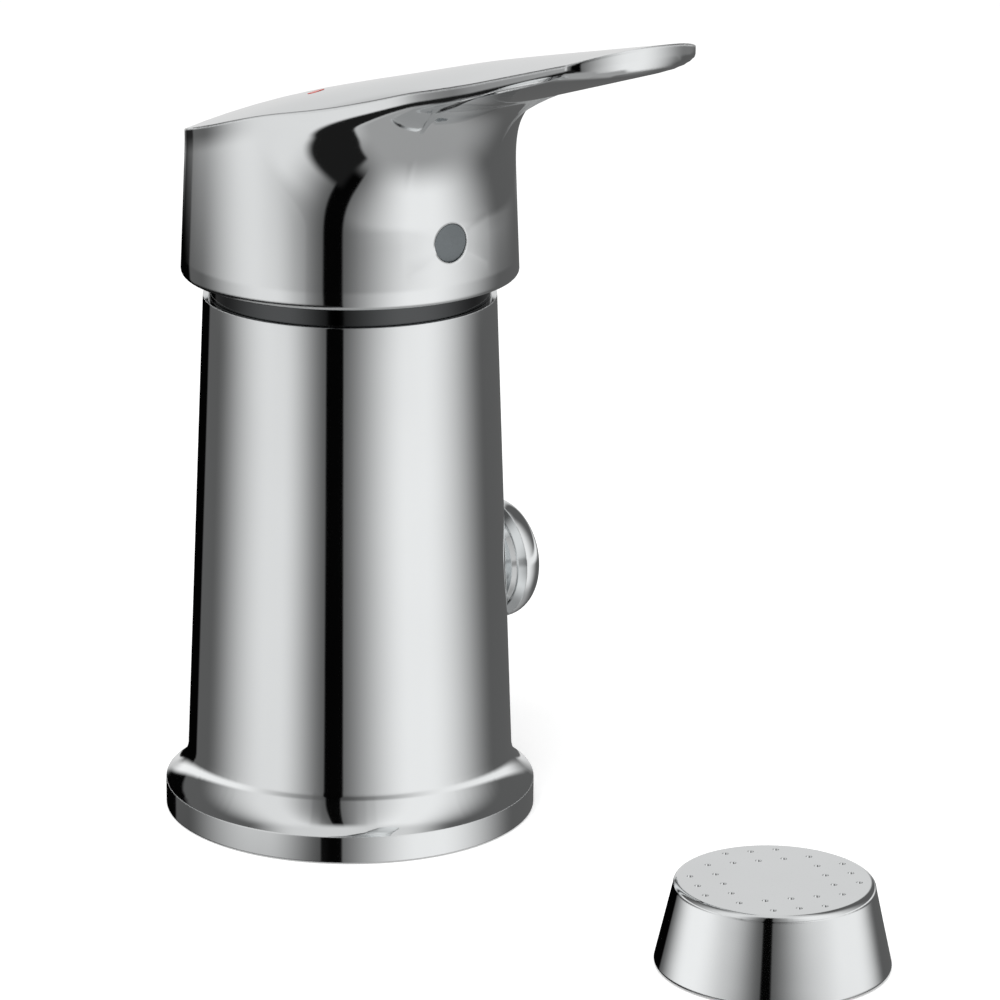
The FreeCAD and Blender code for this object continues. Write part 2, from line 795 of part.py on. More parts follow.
def plan_section(name, height, reach, nose_turn):
    """Plan of the lever at one height: the cap's circle, two flanks and a nose.

    The flanks leave the circle at the neck and touch the nose, whose front is at the
    reach. The place of the touch is the front, turned back by the nose's turn about the
    pivot that turns the front onto the neck. At the cap's own reach all is one circle."""
    turn = S["neck_turn"]
    cap = named(name + "_cap", cap_radius - cap_slope * (height - cap_bottom))
    leave_x = cap * sine(turn)
    leave_y = cap * cosine(turn)
    spread = tangent(turn / 2) * 2
    pivot_x = named(name + "_pivot_x", leave_x / 2 - (reach - leave_y) / spread)
    pivot_y = named(name + "_pivot_y", (leave_y + reach) / 2 - leave_x / spread)
    arm = reach - pivot_y
    touch_x = named(name + "_touch_x",
                    pivot_x - pivot_x * cosine(nose_turn) + arm * sine(nose_turn))
    touch_y = named(name + "_touch_y",
                    pivot_y + pivot_x * sine(nose_turn) + arm * cosine(nose_turn))
    fall = reach - touch_y
    nose = named(name + "_nose", (touch_x * touch_x + fall * fall) / (fall * 2))
    along_x = leave_x - touch_x
    along_y = leave_y - touch_y
    bend = named(name + "_bend", (along_x * along_x + along_y * along_y)
                 / ((along_x * sine(turn) + along_y * cosine(turn)) * 2))
    side = "left" if bend.number > 0 else "right"
    flank = bend if bend.number > 0 else -bend
    sketch = doc.addObject("Sketcher::SketchObject", name)
    place(sketch, z=height)
    outline(sketch, [
        (-leave_x, -leave_y, flank, side),
        (-touch_x, -touch_y, nose, "left"),
        (0, -reach, nose, "left"),
        (touch_x, -touch_y, flank, side),
        (leave_x, -leave_y, cap, "left"),
        (cap, 0, cap, "left"),
        (0, cap, cap, "left"),
        (-cap, 0, cap, "left"),
    ])
    return sketch


def swept_form():
    """The lever's outside under its rim: cap, concave sweep and hull of the blade."""
    angle = S["underside_angle"]
    radius = S["sweep_radius"]
    nose_turn = S["nose_turn"]
    centre_reach = named("sweep_centre_reach", sweep_start_radius + radius * cosine(S["cap_taper"]))
    centre_height = named("sweep_centre_height", sweep_height + radius * sine(S["cap_taper"]))
    skirt_top = cap_bottom + S["cap_skirt_height"]
    levels = []
    for share in WALL_LEVELS:
        height = skirt_top + (sweep_height - skirt_top) * share
        levels.append((height, cap_radius - cap_slope * (height - cap_bottom), nose_turn))
    for turn in SWEEP_LEVELS:
        levels.append((centre_height + radius * sine(as_size(turn)),
                       centre_reach - radius * cosine(as_size(turn)), nose_turn))
    end_reach = named("sweep_end_reach", centre_reach - radius * sine(angle))
    end_height = named("sweep_end_height", centre_height + radius * cosine(angle))
    length = S["blade_reach"] - end_reach
    for rise, along, share in BLADE_LEVELS:
        levels.append((end_height + length * tangent(angle) * rise, end_reach + length * along,
                       nose_turn * share))
    sections = []
    for index, (height, reach, turn) in enumerate(levels):
        name = "plan_%02d" % index
        sections.append(plan_section(name, named(name + "_height", height),
                                     named(name + "_reach", reach), turn))
    hull = doc.addObject("Part::Loft", "hull")
    hull.Sections = sections
    hull.Solid = True
    hull.Ruled = False
    tip = doc.addObject("Part::Extrusion", "tip_block")
    tip.Base = sections[-1]
    tip.Dir = FreeCAD.Vector(0, 0, 1)
    tip.Solid = True
    tip.setExpression("LengthFwd", (S["crest_height"] * 2).text)
    return boolean("Fuse", "swept_form", hull, tip)


def cap_skirt():
    body = new_body("cap_skirt_body")
    edge = S["cap_edge"]
    top = cap_bottom + S["cap_skirt_height"]
    revolve(body, "skirt_turn", [
        (0, cap_bottom),
        (cap_radius - edge, cap_bottom, edge, "left"),
        (cap_radius, cap_bottom + edge),
        (cap_radius - cap_slope * S["cap_skirt_height"], top),
        (0, top),
    ])
    return body


def straight_hole(name, radius, low, high, along=None):
    """Tool for a round hole, upright or along Y, between two places on its axis."""
    tool = helper("Part::Cylinder", name, Radius=radius, Height=high - low)
    if along is None:
        place(tool, z=low)
    else:
        tool.Placement = FreeCAD.Placement(
            FreeCAD.Vector(0, 0, 0), FreeCAD.Rotation(FreeCAD.Vector(1, 0, 0), 90))
        place(tool, y=-low, z=along)
    return tool


def mark_tool(name, side):
    """Upright capsule that outlines one index mark, pointing at the cap's centre."""
    body = new_body(name + "_tool")
    half_width = S["mark_width"] / 2
    half_length = (S["mark_length"] - S["mark_width"]) / 2
    pad(body, name + "_pad", [
        (-half_length, -half_width),
        (half_length, -half_width, half_width, "left"),
        (half_length + half_width, 0, half_width, "left"),
        (half_length, half_width),
        (-half_length, half_width, half_width, "left"),
        (-half_length - half_width, 0, half_width, "left"),
    ], rim_height - S["column_height"])
    turn = math.degrees(math.atan2(-S["mark_front"].number, side * S["mark_side"].number))
    body.Placement = FreeCAD.Placement(
        FreeCAD.Vector(0, 0, 0), FreeCAD.Rotation(FreeCAD.Vector(0, 0, 1), turn))
    place(body, x=side * S["mark_side"], y=-S["mark_front"], z=sweep_height)
    return body


def lever_handle():
    """Cap and blade in one casting, hollow over the dome, with the stem's socket."""
    upper = boolean("Common", "crowned_block", swept_form(), crowned_top())
    solid = boolean("Fuse", "lever_solid", upper, cap_skirt())
    doc.recompute()

    marks = []
    for name, side in (("index_red", -1), ("index_blue", 1)):
        column = boolean("Common", name + "_column", solid, mark_tool(name, side))
        lowered = doc.addObject("Part::Feature", name + "_floor")
        doc.recompute()
        lowered.Shape = column.Shape.copy()
        lowered.Placement = FreeCAD.Placement()
        place(lowered, z=-S["mark_depth"])
        marks.append(boolean("Cut", name + "_inlay", column, lowered))

    hollow = straight_hole("cap_hollow", cap_inner_radius,
                           cap_bottom - S["cut_lap"], hollow_top)
    boss = straight_hole("socket_boss", S["boss_radius"], boss_bottom,
                         hollow_top + S["cut_lap"])
    collar = straight_hole("cover_collar", S["cover_radius"] + S["cover_collar"],
                           cap_inner_radius - S["cover_recess"],
                           cap_inner_radius + S["cut_lap"], screw_height)
    shell = boolean("Cut", "lever_shell", solid, hollow)
    shell = boolean("Fuse", "lever_with_boss", shell, boss)
    shell = boolean("Fuse", "lever_with_collar", shell, collar)

    socket = helper("Part::Box", "stem_socket",
                    Length=S["stem_width"] + S["fit_gap"] * 2,
                    Width=S["stem_depth"] + S["fit_gap"] * 2,
                    Height=stem_top + S["free_gap"] - boss_bottom + S["cut_lap"])
    place(socket, x=-(S["stem_width"] / 2 + S["fit_gap"]),
          y=-(S["stem_depth"] / 2 + S["fit_gap"]), z=boss_bottom - S["cut_lap"])
    screw_way = straight_hole("screw_way", S["screw_radius"] + S["running_gap"],
                              S["stem_depth"] / 2, S["boss_radius"] + S["cut_lap"],
                              screw_height)
    cover_way = straight_hole("cover_way", S["cover_radius"] + S["running_gap"],
                              cap_inner_radius - S["cover_recess"] - S["cut_lap"],
                              cap_radius + S["cut_lap"], screw_height)
    for number, tool in enumerate((socket, screw_way, cover_way)):
        shell = boolean("Cut", "lever_cut_%d" % number, shell, tool)
    for mark in marks:
        shell = boolean("Cut", "lever_less_" + mark.Name, shell, mark)
    keep(shell, "lever_handle")
    for mark, name in zip(marks, ("index_red", "index_blue")):
        keep(mark, name)


def grub_screw():
    """Headless screw with a hexagon socket, from the boss wall to the stem."""
    start = S["stem_depth"] / 2 + S["running_gap"]
    end = S["boss_radius"]
    socket = S["grub_socket_radius"]
    body = new_body("grub_screw_body")
    revolve(body, "grub_turn", [
        (0, start),
        (S["screw_radius"] - S["free_gap"], start),
        (S["screw_radius"], start + S["free_gap"]),
        (S["screw_radius"], end),
        (socket, end),
        (socket, end - S["grub_socket_depth"]),
        (0, end - S["grub_socket_depth"]),
    ])
    body.Placement = FreeCAD.Placement(
        FreeCAD.Vector(0, 0, 0), FreeCAD.Rotation(FreeCAD.Vector(1, 0, 0), 90))
    place(body, z=screw_height)
    keep(body, "grub_screw")


def screw_cover():
    """Grey snap-in plug, set back in its hole in front of the grub screw."""
    wall = cap_radius - cap_slope * (screw_height - cap_bottom)
    face = wall - S["cover_recess"]
    dish = S["free_gap"] / 2
    body = new_body("screw_cover_body")
    revolve(body, "cover_turn", [
        (0, face - S["cover_thickness"]),
        (S["cover_radius"] - dish, face - S["cover_thickness"]),
        (S["cover_radius"], face - S["cover_thickness"] + dish),
        (S["cover_radius"], face - dish),
        (S["cover_radius"] - dish, face),
        (0, face),
    ])
    body.Placement = FreeCAD.Placement(
        FreeCAD.Vector(0, 0, 0), FreeCAD.Rotation(FreeCAD.Vector(1, 0, 0), 90))
    place(body, z=screw_height)
    keep(body, "screw_cover")


def along_x(label, corners):
    """A lathe piece on the diverter's axis; corners are (place along X, radius)."""
    return place(turned(label, corners, "H_Axis"), z=S["knob_height"])


def sleeve(start, end, inner, outer):
    return [(start, inner), (end, inner), (end, outer), (start, outer)]


def diverter_sleeves():
    """Seat ring, bonnet and washer round the spindle."""
    along_x("diverter_seat", sleeve(right_seat, right_seat + S["seat_ring_length"],
                                    S["seat_bore_radius"], S["chamber_radius"] - S["running_gap"]))
    along_x("bonnet_washer", sleeve(S["bonnet_start"] - S["bonnet_washer"] + S["running_gap"],
                                    S["bonnet_start"] - S["running_gap"],
                                    S["chamber_radius"] - S["free_gap"],
                                    S["bonnet_radius"] - S["running_gap"]))
    along_x("diverter_bonnet", [
        (S["bonnet_start"], spindle_bore),
        (S["bonnet_end"], spindle_bore),
        (S["bonnet_end"], S["bonnet_cone_radius"]),
        (S["bonnet_end"] - S["bonnet_cone_length"], S["bonnet_radius"]),
        (S["bonnet_start"], S["bonnet_radius"]),
    ])


def diverter_spindle():
    """Turned spindle: valve rod, collar, two ring grooves and the knob's seat."""
    rod_start = S["bonnet_start"] + S["fit_gap"]
    corners = [
        (valve_face - S["valve_nut_length"], 0),
        (valve_face - S["valve_nut_length"], S["rod_radius"]),
        (valve_washer_end, S["rod_radius"]),
        (valve_washer_end, collar_radius),
        (collar_end, collar_radius),
        (collar_end, S["spring_rod_radius"]),
        (rod_start, S["spring_rod_radius"]),
        (rod_start, S["spindle_radius"]),
    ]
    half_groove = S["oring_section"] / 2 + S["running_gap"]
    groove_floor = S["spindle_radius"] - S["oring_section"] + S["running_gap"]
    for count in (1, 2):
        centre = S["bonnet_start"] + S["oring_pitch"] * count
        corners += [
            (centre - half_groove, S["spindle_radius"]),
            (centre - half_groove, groove_floor),
            (centre + half_groove, groove_floor),
            (centre + half_groove, S["spindle_radius"]),
        ]
    corners += [
        (knob_start, S["spindle_radius"]),
        (knob_start, S["knob_seat_radius"]),
        (spindle_end, S["knob_seat_radius"]),
        (spindle_end, S["tapped_radius"]),
        (spindle_end - S["tapped_depth"], S["tapped_radius"]),
        (spindle_end - S["tapped_depth"], 0),
    ]
    along_x("diverter_spindle", corners)


def spindle_orings():
    body = new_body("spindle_orings_body")
    sketch = new_sketch(body, "oring_profile", "XZ_Plane")
    section = (S["oring_section"] - S["running_gap"]) / 2
    reach = S["spindle_radius"] - (S["oring_section"] - S["running_gap"]) / 2
    for count in (1, 2):
        circle(sketch, S["bonnet_start"] + S["oring_pitch"] * count, reach, section)
    rings = body.newObject("PartDesign::Revolution", "oring_turn")
    rings.Profile = sketch
    rings.ReferenceAxis = (sketch, ["H_Axis"])
    rings.Angle = 360.0
    body.Tip = rings
    place(keep(body, "spindle_orings"), z=S["knob_height"])


def diverter_valve():
    """Brass disc between two rubber washers, held on the rod by a nut."""
    bore = S["rod_radius"] + S["running_gap"] / 2
    along_x("valve_disc", sleeve(valve_disc_start, valve_disc_end, bore, valve_disc_radius))
    washers = new_body("valve_washers_body")
    for name, start, end in (("left_washer", valve_face, valve_disc_start),
                             ("right_washer", valve_disc_end, valve_washer_end)):
        revolve(washers, name, sleeve(start, end, bore, valve_disc_radius), "H_Axis")
    place(keep(washers, "valve_washers"), z=S["knob_height"])
    along_x("valve_nut", sleeve(valve_face - S["valve_nut_length"], valve_face, bore,
                                S["valve_nut_radius"]))


def diverter_spring():
    """Coil between the spindle's collar and the bonnet, which pulls the knob home."""
    start = collar_end + S["spring_wire"] / 2 + S["fit_gap"]
    end = S["bonnet_start"] - S["spring_wire"] / 2 - S["fit_gap"]
    helix = helper("Part::Helix", "spring_path", Pitch=(end - start) / S["spring_turns"],
                   Height=end - start, Radius=S["spring_radius"])
    wire = doc.addObject("Sketcher::SketchObject", "spring_section")
    wire.Placement = FreeCAD.Placement(
        FreeCAD.Vector(0, 0, 0), FreeCAD.Rotation(FreeCAD.Vector(1, 0, 0), 90))
    circle(wire, S["spring_radius"], 0, S["spring_wire"] / 2)
    doc.recompute()
    spring = doc.addObject("Part::Sweep", "diverter_spring")
    spring.Sections = [wire]
    spring.Spine = (helix, [])
    spring.Solid = True
    spring.Frenet = True
    spring.Placement = FreeCAD.Placement(
        FreeCAD.Vector(0, 0, 0), FreeCAD.Rotation(FreeCAD.Vector(0, 1, 0), 90))
    place(spring, x=start, z=S["knob_height"])
    keep(spring, "diverter_spring")


def diverter_knob():
    """Round knob with a flared flank, its screw, and the cap over the screw."""
    start = knob_start
    end = start + S["knob_length"]
    step = S["knob_step"]
    cap_floor = end - S["knob_cap_thickness"]
    seat = S["knob_seat_radius"] + S["running_gap"] / 2
    screw_floor = spindle_end + S["running_gap"]
    cap_bore = S["knob_cap_radius"] + S["running_gap"]
    head = S["spindle_radius"] - S["fit_gap"]
    shank = S["tapped_radius"] - S["running_gap"]
    along_x("diverter_knob", [
        (start, seat),
        (start, S["knob_back_radius"]),
        (start + step, S["knob_back_radius"] + step / 2),
        (start + step, S["knob_back_radius"] + step),
        (start + S["knob_flank"], S["knob_radius"], S["knob_flank_radius"], "right"),
        (end, S["knob_front_radius"]),
        (end, cap_bore),
        (cap_floor, cap_bore),
        (cap_floor, S["spindle_radius"]),
        (screw_floor, S["spindle_radius"]),
        (screw_floor, seat),
    ])
    along_x("knob_screw", [
        (spindle_end - S["tapped_depth"] + S["free_gap"], 0),
        (spindle_end - S["tapped_depth"] + S["free_gap"], shank),
        (screw_floor, shank),
        (screw_floor, head),
        (cap_floor - S["running_gap"], head),
        (cap_floor - S["running_gap"], 0),
    ])
    along_x("knob_cap", [
        (cap_floor, 0),
        (cap_floor, S["knob_cap_radius"]),
        (end, S["knob_cap_radius"] - S["fit_gap"]),
        (end + S["fit_gap"], S["knob_cap_radius"] - S["free_gap"]),
        (end + S["fit_gap"] * 2, 0),
    ])


def spray_holes():
    """The 28 jets: a square grid trimmed to a circle, without its middle nine."""
    turn = -S["spray_turn"]
    holes = []
    for column in range(-3, 4):
        for line in range(-3, 4):
            trimmed = column * column + line * line > 11
            middle = abs(column) < 2 and abs(line) < 2
            if not trimmed and not middle:
                x = S["spray_pitch"] * (column * cosine(turn) - line * sine(turn))
                y = S["spray_pitch"] * (column * sine(turn) + line * cosine(turn))
                holes.append((x, y, S["spray_hole_radius"]))
    return holes


def rose_place(node):
    return place(node, x=S["rose_x"], y=-S["rose_y"])


def rose():
    """Free-standing spray head: conical shell, threaded insert, flow disc and seals."""
    slope = (S["rose_radius"] - S["rose_top_radius"]) / S["rose_height"]
    edge = S["rose_edge"]
    shoulder = S["rose_height"] - edge
    gasket_inner = S["rose_gasket_inner_radius"]
    gasket_outer = S["rose_gasket_outer_radius"]
    foot = S["rose_foot_edge"]
    shell = new_body("rose_shell_body")
    revolve(shell, "rose_turn", [
        (gasket_outer, 0),
        (S["rose_radius"] - foot, 0, foot, "left"),
        (S["rose_radius"], foot),
        (S["rose_radius"] - slope * shoulder, shoulder, edge, "left"),
        (S["rose_top_radius"] - edge, S["rose_height"]),
        (0, S["rose_height"]),
        (0, S["rose_height"] - S["rose_top_wall"]),
        (S["rose_bore_radius"] - S["rose_edge"], S["rose_height"] - S["rose_top_wall"]),
        (S["rose_bore_radius"], S["rose_bore_depth"]),
        (S["rose_bore_radius"], 0),
        (gasket_inner, 0),
        (gasket_inner, S["rose_gasket_thickness"]),
        (gasket_outer, S["rose_gasket_thickness"]),
    ])
    drill(shell, "jets", spray_holes(), S["rose_height"], lift=S["rose_bore_depth"])
    rose_place(keep(shell, "rose_shell"))

    rose_place(turned("rose_gasket", ring(gasket_inner + S["fit_gap"], gasket_outer - S["fit_gap"],
                                          0, S["rose_gasket_thickness"])))

    outer = S["rose_bore_radius"] - S["running_gap"]
    seal_top = S["rose_thread_depth"] + S["rose_seal_thickness"]
    rose_place(turned("rose_insert", [
        (S["rose_thread_radius"], 0),
        (outer, 0),
        (outer, S["insert_height"]),
        (S["insert_throat_radius"], S["insert_height"]),
        (S["insert_throat_radius"], seal_top),
        (S["rose_seal_radius"], seal_top),
        (S["rose_seal_radius"], S["rose_thread_depth"]),
        (S["rose_thread_radius"], S["rose_thread_depth"]),
    ]))
    rose_place(turned("rose_seal", ring(S["insert_throat_radius"] + S["fit_gap"],
                                        S["rose_seal_radius"] - S["fit_gap"],
                                        S["rose_thread_depth"] + S["running_gap"], seal_top)))

    disc = new_body("rose_flow_disc_body")
    revolve(disc, "flow_plate", ring(0, outer, S["insert_height"],
                                     S["insert_height"] + S["flow_disc_thickness"]))
    holes = [(0, 0, S["flow_hole_radius"])]
    for count, share in ((6, 0.42), (12, 0.82)):
        for step in range(count):
            angle = 2 * math.pi * step / count
            reach = S["insert_throat_radius"] * share
            holes.append((reach * math.cos(angle), reach * math.sin(angle), S["flow_hole_radius"]))
    drill(disc, "flow_holes", holes, S["flow_disc_thickness"], lift=S["insert_height"])
    rose_place(keep(disc, "rose_flow_disc"))


def build_all():
    mixer_body()
    base_gasket()
    cartridge_base()
    cartridge_seals()
    fixed_disc()
    moving_disc()
    disc_carrier()
    cartridge_housing()
    turret()
    stem_pin()
    stem()
    cartridge_nut()
    dome_ring()
    lever_handle()
    grub_screw()
    screw_cover()
    diverter_sleeves()
    diverter_spindle()
    spindle_orings()
    diverter_valve()
    diverter_spring()
    diverter_knob()
    rose()
    doc.recompute()


def check_document():
    failed = [item.Name for item in doc.Objects
              if "Invalid" in item.State or "Error" in item.State]
    failed += [node.Label for node in NODES
               if node.Shape.isNull() or not node.Shape.isValid()]
    if failed:
        raise RuntimeError("these objects failed: " + ", ".join(failed))


def write_parts():
    os.makedirs("parts", exist_ok=True)
    for node in NODES:
        node.Shape.exportStep("parts/%s.step" % node.Label)
        print("%-20s %10.2f mm3" % (node.Label, node.Shape.Volume), len(node.Shape.Solids))


build_all()
check_document()
write_parts()
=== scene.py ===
"""Looks of the bidet mixer: finishes for every piece, studio surroundings and camera, and two
pieces of its own that stand for packed ones, the lever's skin and the diverter's spring.

Metres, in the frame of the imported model: origin on the deck under the column, +Z up,
the lever points towards -Y and the diverter knob towards +X.
"""
import json
import math

import bmesh
import bpy
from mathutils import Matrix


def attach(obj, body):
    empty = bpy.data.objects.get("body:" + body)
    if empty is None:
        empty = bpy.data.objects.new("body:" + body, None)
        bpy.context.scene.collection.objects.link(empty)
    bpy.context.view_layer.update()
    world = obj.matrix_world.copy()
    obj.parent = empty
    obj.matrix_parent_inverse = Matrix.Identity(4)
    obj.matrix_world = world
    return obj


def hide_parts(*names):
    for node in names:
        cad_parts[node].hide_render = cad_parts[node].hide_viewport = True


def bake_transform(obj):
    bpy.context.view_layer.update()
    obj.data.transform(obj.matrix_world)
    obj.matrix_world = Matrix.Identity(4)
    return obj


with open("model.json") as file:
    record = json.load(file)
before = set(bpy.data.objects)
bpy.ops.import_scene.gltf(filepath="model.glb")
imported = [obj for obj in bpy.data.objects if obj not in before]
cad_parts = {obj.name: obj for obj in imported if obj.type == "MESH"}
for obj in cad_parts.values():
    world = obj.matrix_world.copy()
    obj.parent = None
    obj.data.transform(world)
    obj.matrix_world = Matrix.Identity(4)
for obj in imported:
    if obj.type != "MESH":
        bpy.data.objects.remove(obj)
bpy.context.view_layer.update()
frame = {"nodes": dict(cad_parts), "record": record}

# The camera stands to the left of the lever and looks slightly down at the column. The picture's
# measures are in pixels; the column's axis is AXIS_PIXEL from its left edge.
CAMERA_TURN = math.radians(-36.0)
CAMERA_PITCH = math.radians(16.473)
CAMERA_DISTANCE = 0.6375
CAMERA_HEIGHT = 0.2342
CLIP_NEAR, CLIP_FAR = 0.01, 20.0
FOCAL_PIXELS = 4600.0
IMAGE_PIXELS = 1000.0
AXIS_PIXEL = 350.0
SENSOR = 36.0

# Directions: in the floor plane towards the camera and to its right, and up.
TOWARDS = (math.sin(CAMERA_TURN), -math.cos(CAMERA_TURN), 0.0)
RIGHT = (math.cos(CAMERA_TURN), math.sin(CAMERA_TURN), 0.0)
UP = (0.0, 0.0, 1.0)

# The studio that the chrome mirrors, in degrees: turns are counted from the camera to its
# right, heights from the horizon. A span is (start, full from, full to, end) with soft ends,
# and a softbox is a span of turns with its brightness. A pair of numbers is where something
# sets in and where it is complete. The corner is the dark far left of the narrow boxes.
WIDE_BOXES = (((-176.0, -150.0, -88.0, -10.0), 0.96), ((-8.0, 70.0, 130.0, 172.0), 0.90))
WIDE_FILL = 0.07
WIDE_HEIGHTS = (-12.5, -4.5, -1.0, 6.0)
NARROW_BOXES = (((-123.0, -62.0, -53.0, -16.0), 0.74), ((-12.0, 44.0, 56.0, 124.0), 0.88))
NARROW_FILL = 0.115
CORNER_TURNS, CORNER_LEVEL = (-143.0, -139.0), 0.01
GAP_TURN, GAP_SOFTNESS, GAP_LEVEL = -11.5, 0.8, 0.012
GAP_HEIGHTS, GAP_HALF_WIDTHS = (-8.0, -3.0), (6.6, 5.0)
GAP_FADE_HEIGHTS = (-34.0, -46.0)
BACKDROP_TURNS, BACKDROP_HEIGHTS, BACKDROP_LEVEL = (158.0, 169.0), (-12.5, -10.5), 0.74
STRIP_TURNS, STRIP_LEVEL = (-150.0, -140.0, -17.0, -11.0), 0.012
STRIP_HEIGHTS = (-50.0, -47.0, -24.0, -19.0)
TABLE_HEIGHTS, TABLE_LEVEL = (-32.0, -62.0), 0.38
CEILING_HEIGHTS, CEILING_LEVEL = (58.0, 74.0), 0.74
# What matt surfaces and the camera get from the surroundings instead
MATT_LEVEL, BACKGROUND_LEVEL = 0.55, 1.0

WHITE = (1.0, 1.0, 1.0, 1.0)
FLOOR_HALF, FLOOR_DROP = 3.0, 0.0002
FLOOR_GREY, FLOOR_GLOW = (0.93, 0.93, 0.93, 1.0), 0.32

# Noise in the finishes: details of the coarse and the fine one, how much finer the second is,
# and the values between which most of the coarse one lies
CLOUD_DETAIL, FINE_DETAIL, FINE_SCALE = 3.0, 2.0, 9.0
CLOUD_LOW, CLOUD_HIGH = 0.3, 0.7
BEVEL_SAMPLES = 6

CHROME = (0.80, 0.815, 0.82)
NODES = frame["nodes"]


class Graph:
    """A node tree with short calls for the nodes that this scene uses."""

    def __init__(self, tree):
        self.tree = tree
        self.tree.nodes.clear()

    def add(self, kind, inputs=None, **settings):
        """A node with its inputs, as numbers or other nodes' outputs, and its settings."""
        node = self.tree.nodes.new(kind)
        for name, value in settings.items():
            setattr(node, name, value)
        for socket, value in (inputs or {}).items():
            self.feed(node.inputs[socket], value)
        return node

    def feed(self, socket, value):
        if isinstance(value, bpy.types.NodeSocket):
            self.tree.links.new(value, socket)
        else:
            socket.default_value = value

    def maths(self, operation, first, second=0.0):
        node = self.add("ShaderNodeMath", {0: first, 1: second}, operation=operation)
        return node.outputs[0]

    def ramp(self, value, low, high, start=0.0, end=1.0):
        """Smooth step of value from low to high, giving start to end."""
        node = self.add("ShaderNodeMapRange", interpolation_type="SMOOTHSTEP")
        for socket, number in zip(("Value", "From Min", "From Max", "To Min", "To Max"),
                                  (value, low, high, start, end)):
            self.feed(node.inputs[socket], number)
        return node.outputs["Result"]

    def blend(self, share, first, second):
        """Mix of two numbers."""
        node = self.add("ShaderNodeMix", data_type="FLOAT")
        self.feed(node.inputs["Factor"], share)
        self.feed(node.inputs["A"], first)
        self.feed(node.inputs["B"], second)
        return node.outputs["Result"]

    def tint(self, share, first, second):
        """Mix of two colours, whose sockets come after those for numbers and vectors."""
        node = self.add("ShaderNodeMix", data_type="RGBA")
        self.feed(node.inputs["Factor"], share)
        self.feed(node.inputs[6], (*first, 1.0))
        self.feed(node.inputs[7], (*second, 1.0))
        return node.outputs[2]

    def noise(self, scale, detail, stretch):
        """Noise in the piece's own coordinates, with scale per metre."""
        place = self.add("ShaderNodeTexCoord")
        mapping = self.add("ShaderNodeMapping",
                           {"Vector": place.outputs["Object"], "Scale": stretch})
        texture = self.add("ShaderNodeTexNoise", {"Vector": mapping.outputs[0], "Scale": scale,
                                                  "Detail": detail})
        return texture.outputs["Fac"]


def band(graph, angle, start, full_from, full_to, end):
    """1 between full_from and full_to, falling softly to 0 at start and end; degrees."""
    rise = graph.ramp(angle, start, full_from)
    fall = graph.ramp(angle, end, full_to)
    return graph.maths("MULTIPLY", rise, fall)


def studio_light(graph):
    """Brightness of the studio in each direction: two softboxes that are wide just under the
    horizon and narrow elsewhere, with a dark gap near the camera, a pale ceiling and backdrop,
    and a grey table."""
    direction = graph.add("ShaderNodeTexCoord").outputs["Generated"]

    def along(vector):
        node = graph.add("ShaderNodeVectorMath", {0: direction, 1: vector}, operation="DOT_PRODUCT")
        return node.outputs["Value"]

    degrees = 180.0 / math.pi
    turn = graph.maths("MULTIPLY", graph.maths("ARCTAN2", along(RIGHT), along(TOWARDS)), degrees)
    height = graph.maths("MULTIPLY", graph.maths("ARCSINE", along(UP)), degrees)

    def softboxes(boxes, fill):
        """Two softboxes over an even fill."""
        left, right = (graph.maths("MULTIPLY", band(graph, turn, *span), level)
                       for span, level in boxes)
        return graph.maths("ADD", graph.maths("ADD", left, right), fill)

    narrow = softboxes(NARROW_BOXES, NARROW_FILL)
    narrow = graph.maths("MULTIPLY", narrow, graph.ramp(turn, *CORNER_TURNS, CORNER_LEVEL, 1.0))
    wide = softboxes(WIDE_BOXES, WIDE_FILL)
    panels = graph.blend(band(graph, height, *WIDE_HEIGHTS), narrow, wide)

    # The gap, which fades out over the table.
    off_gap = graph.maths("ABSOLUTE", graph.maths("SUBTRACT", turn, GAP_TURN))
    gap_edge = graph.ramp(height, *GAP_HEIGHTS, *GAP_HALF_WIDTHS)
    gap = graph.ramp(graph.maths("SUBTRACT", off_gap, gap_edge), -GAP_SOFTNESS, GAP_SOFTNESS,
                     GAP_LEVEL, 1.0)
    gap = graph.blend(graph.ramp(height, *GAP_FADE_HEIGHTS), gap, 1.0)
    panels = graph.maths("MULTIPLY", panels, gap)

    # A pale backdrop behind the object, a dark strip in front of the table, the table itself.
    behind = graph.ramp(graph.maths("ABSOLUTE", turn), *BACKDROP_TURNS)
    behind = graph.maths("MULTIPLY", behind, graph.ramp(height, *BACKDROP_HEIGHTS))
    panels = graph.blend(behind, panels, BACKDROP_LEVEL)
    strip = graph.maths("MULTIPLY", band(graph, turn, *STRIP_TURNS),
                        band(graph, height, *STRIP_HEIGHTS))
    table = graph.blend(graph.ramp(height, *TABLE_HEIGHTS), panels, TABLE_LEVEL)
    table = graph.blend(strip, table, STRIP_LEVEL)
    return graph.blend(graph.ramp(height, *CEILING_HEIGHTS), table, CEILING_LEVEL)


def make_world():
    """White for the camera, an even light for matt surfaces and the studio for mirrors."""
    world = bpy.data.worlds.new("studio")
    world.use_nodes = True
    graph = Graph(world.node_tree)
    rays = graph.add("ShaderNodeLightPath")
    fill = graph.blend(rays.outputs["Is Glossy Ray"], MATT_LEVEL, studio_light(graph))
    level = graph.blend(rays.outputs["Is Camera Ray"], fill, BACKGROUND_LEVEL)
    shade = graph.add("ShaderNodeBackground", {"Color": WHITE, "Strength": level})
    graph.add("ShaderNodeOutputWorld", {"Surface": shade.outputs[0]})
    bpy.context.scene.world = world


def add_object(name, data):
    """A new object in the scene."""
    thing = bpy.data.objects.new(name, data)
    bpy.context.scene.collection.objects.link(thing)
    return thing


def add_mesh(name, points, faces):
    """A new mesh object in the scene."""
    mesh = bpy.data.meshes.new(name)
    mesh.from_pydata(points, [], faces)
    return add_object(name, mesh)


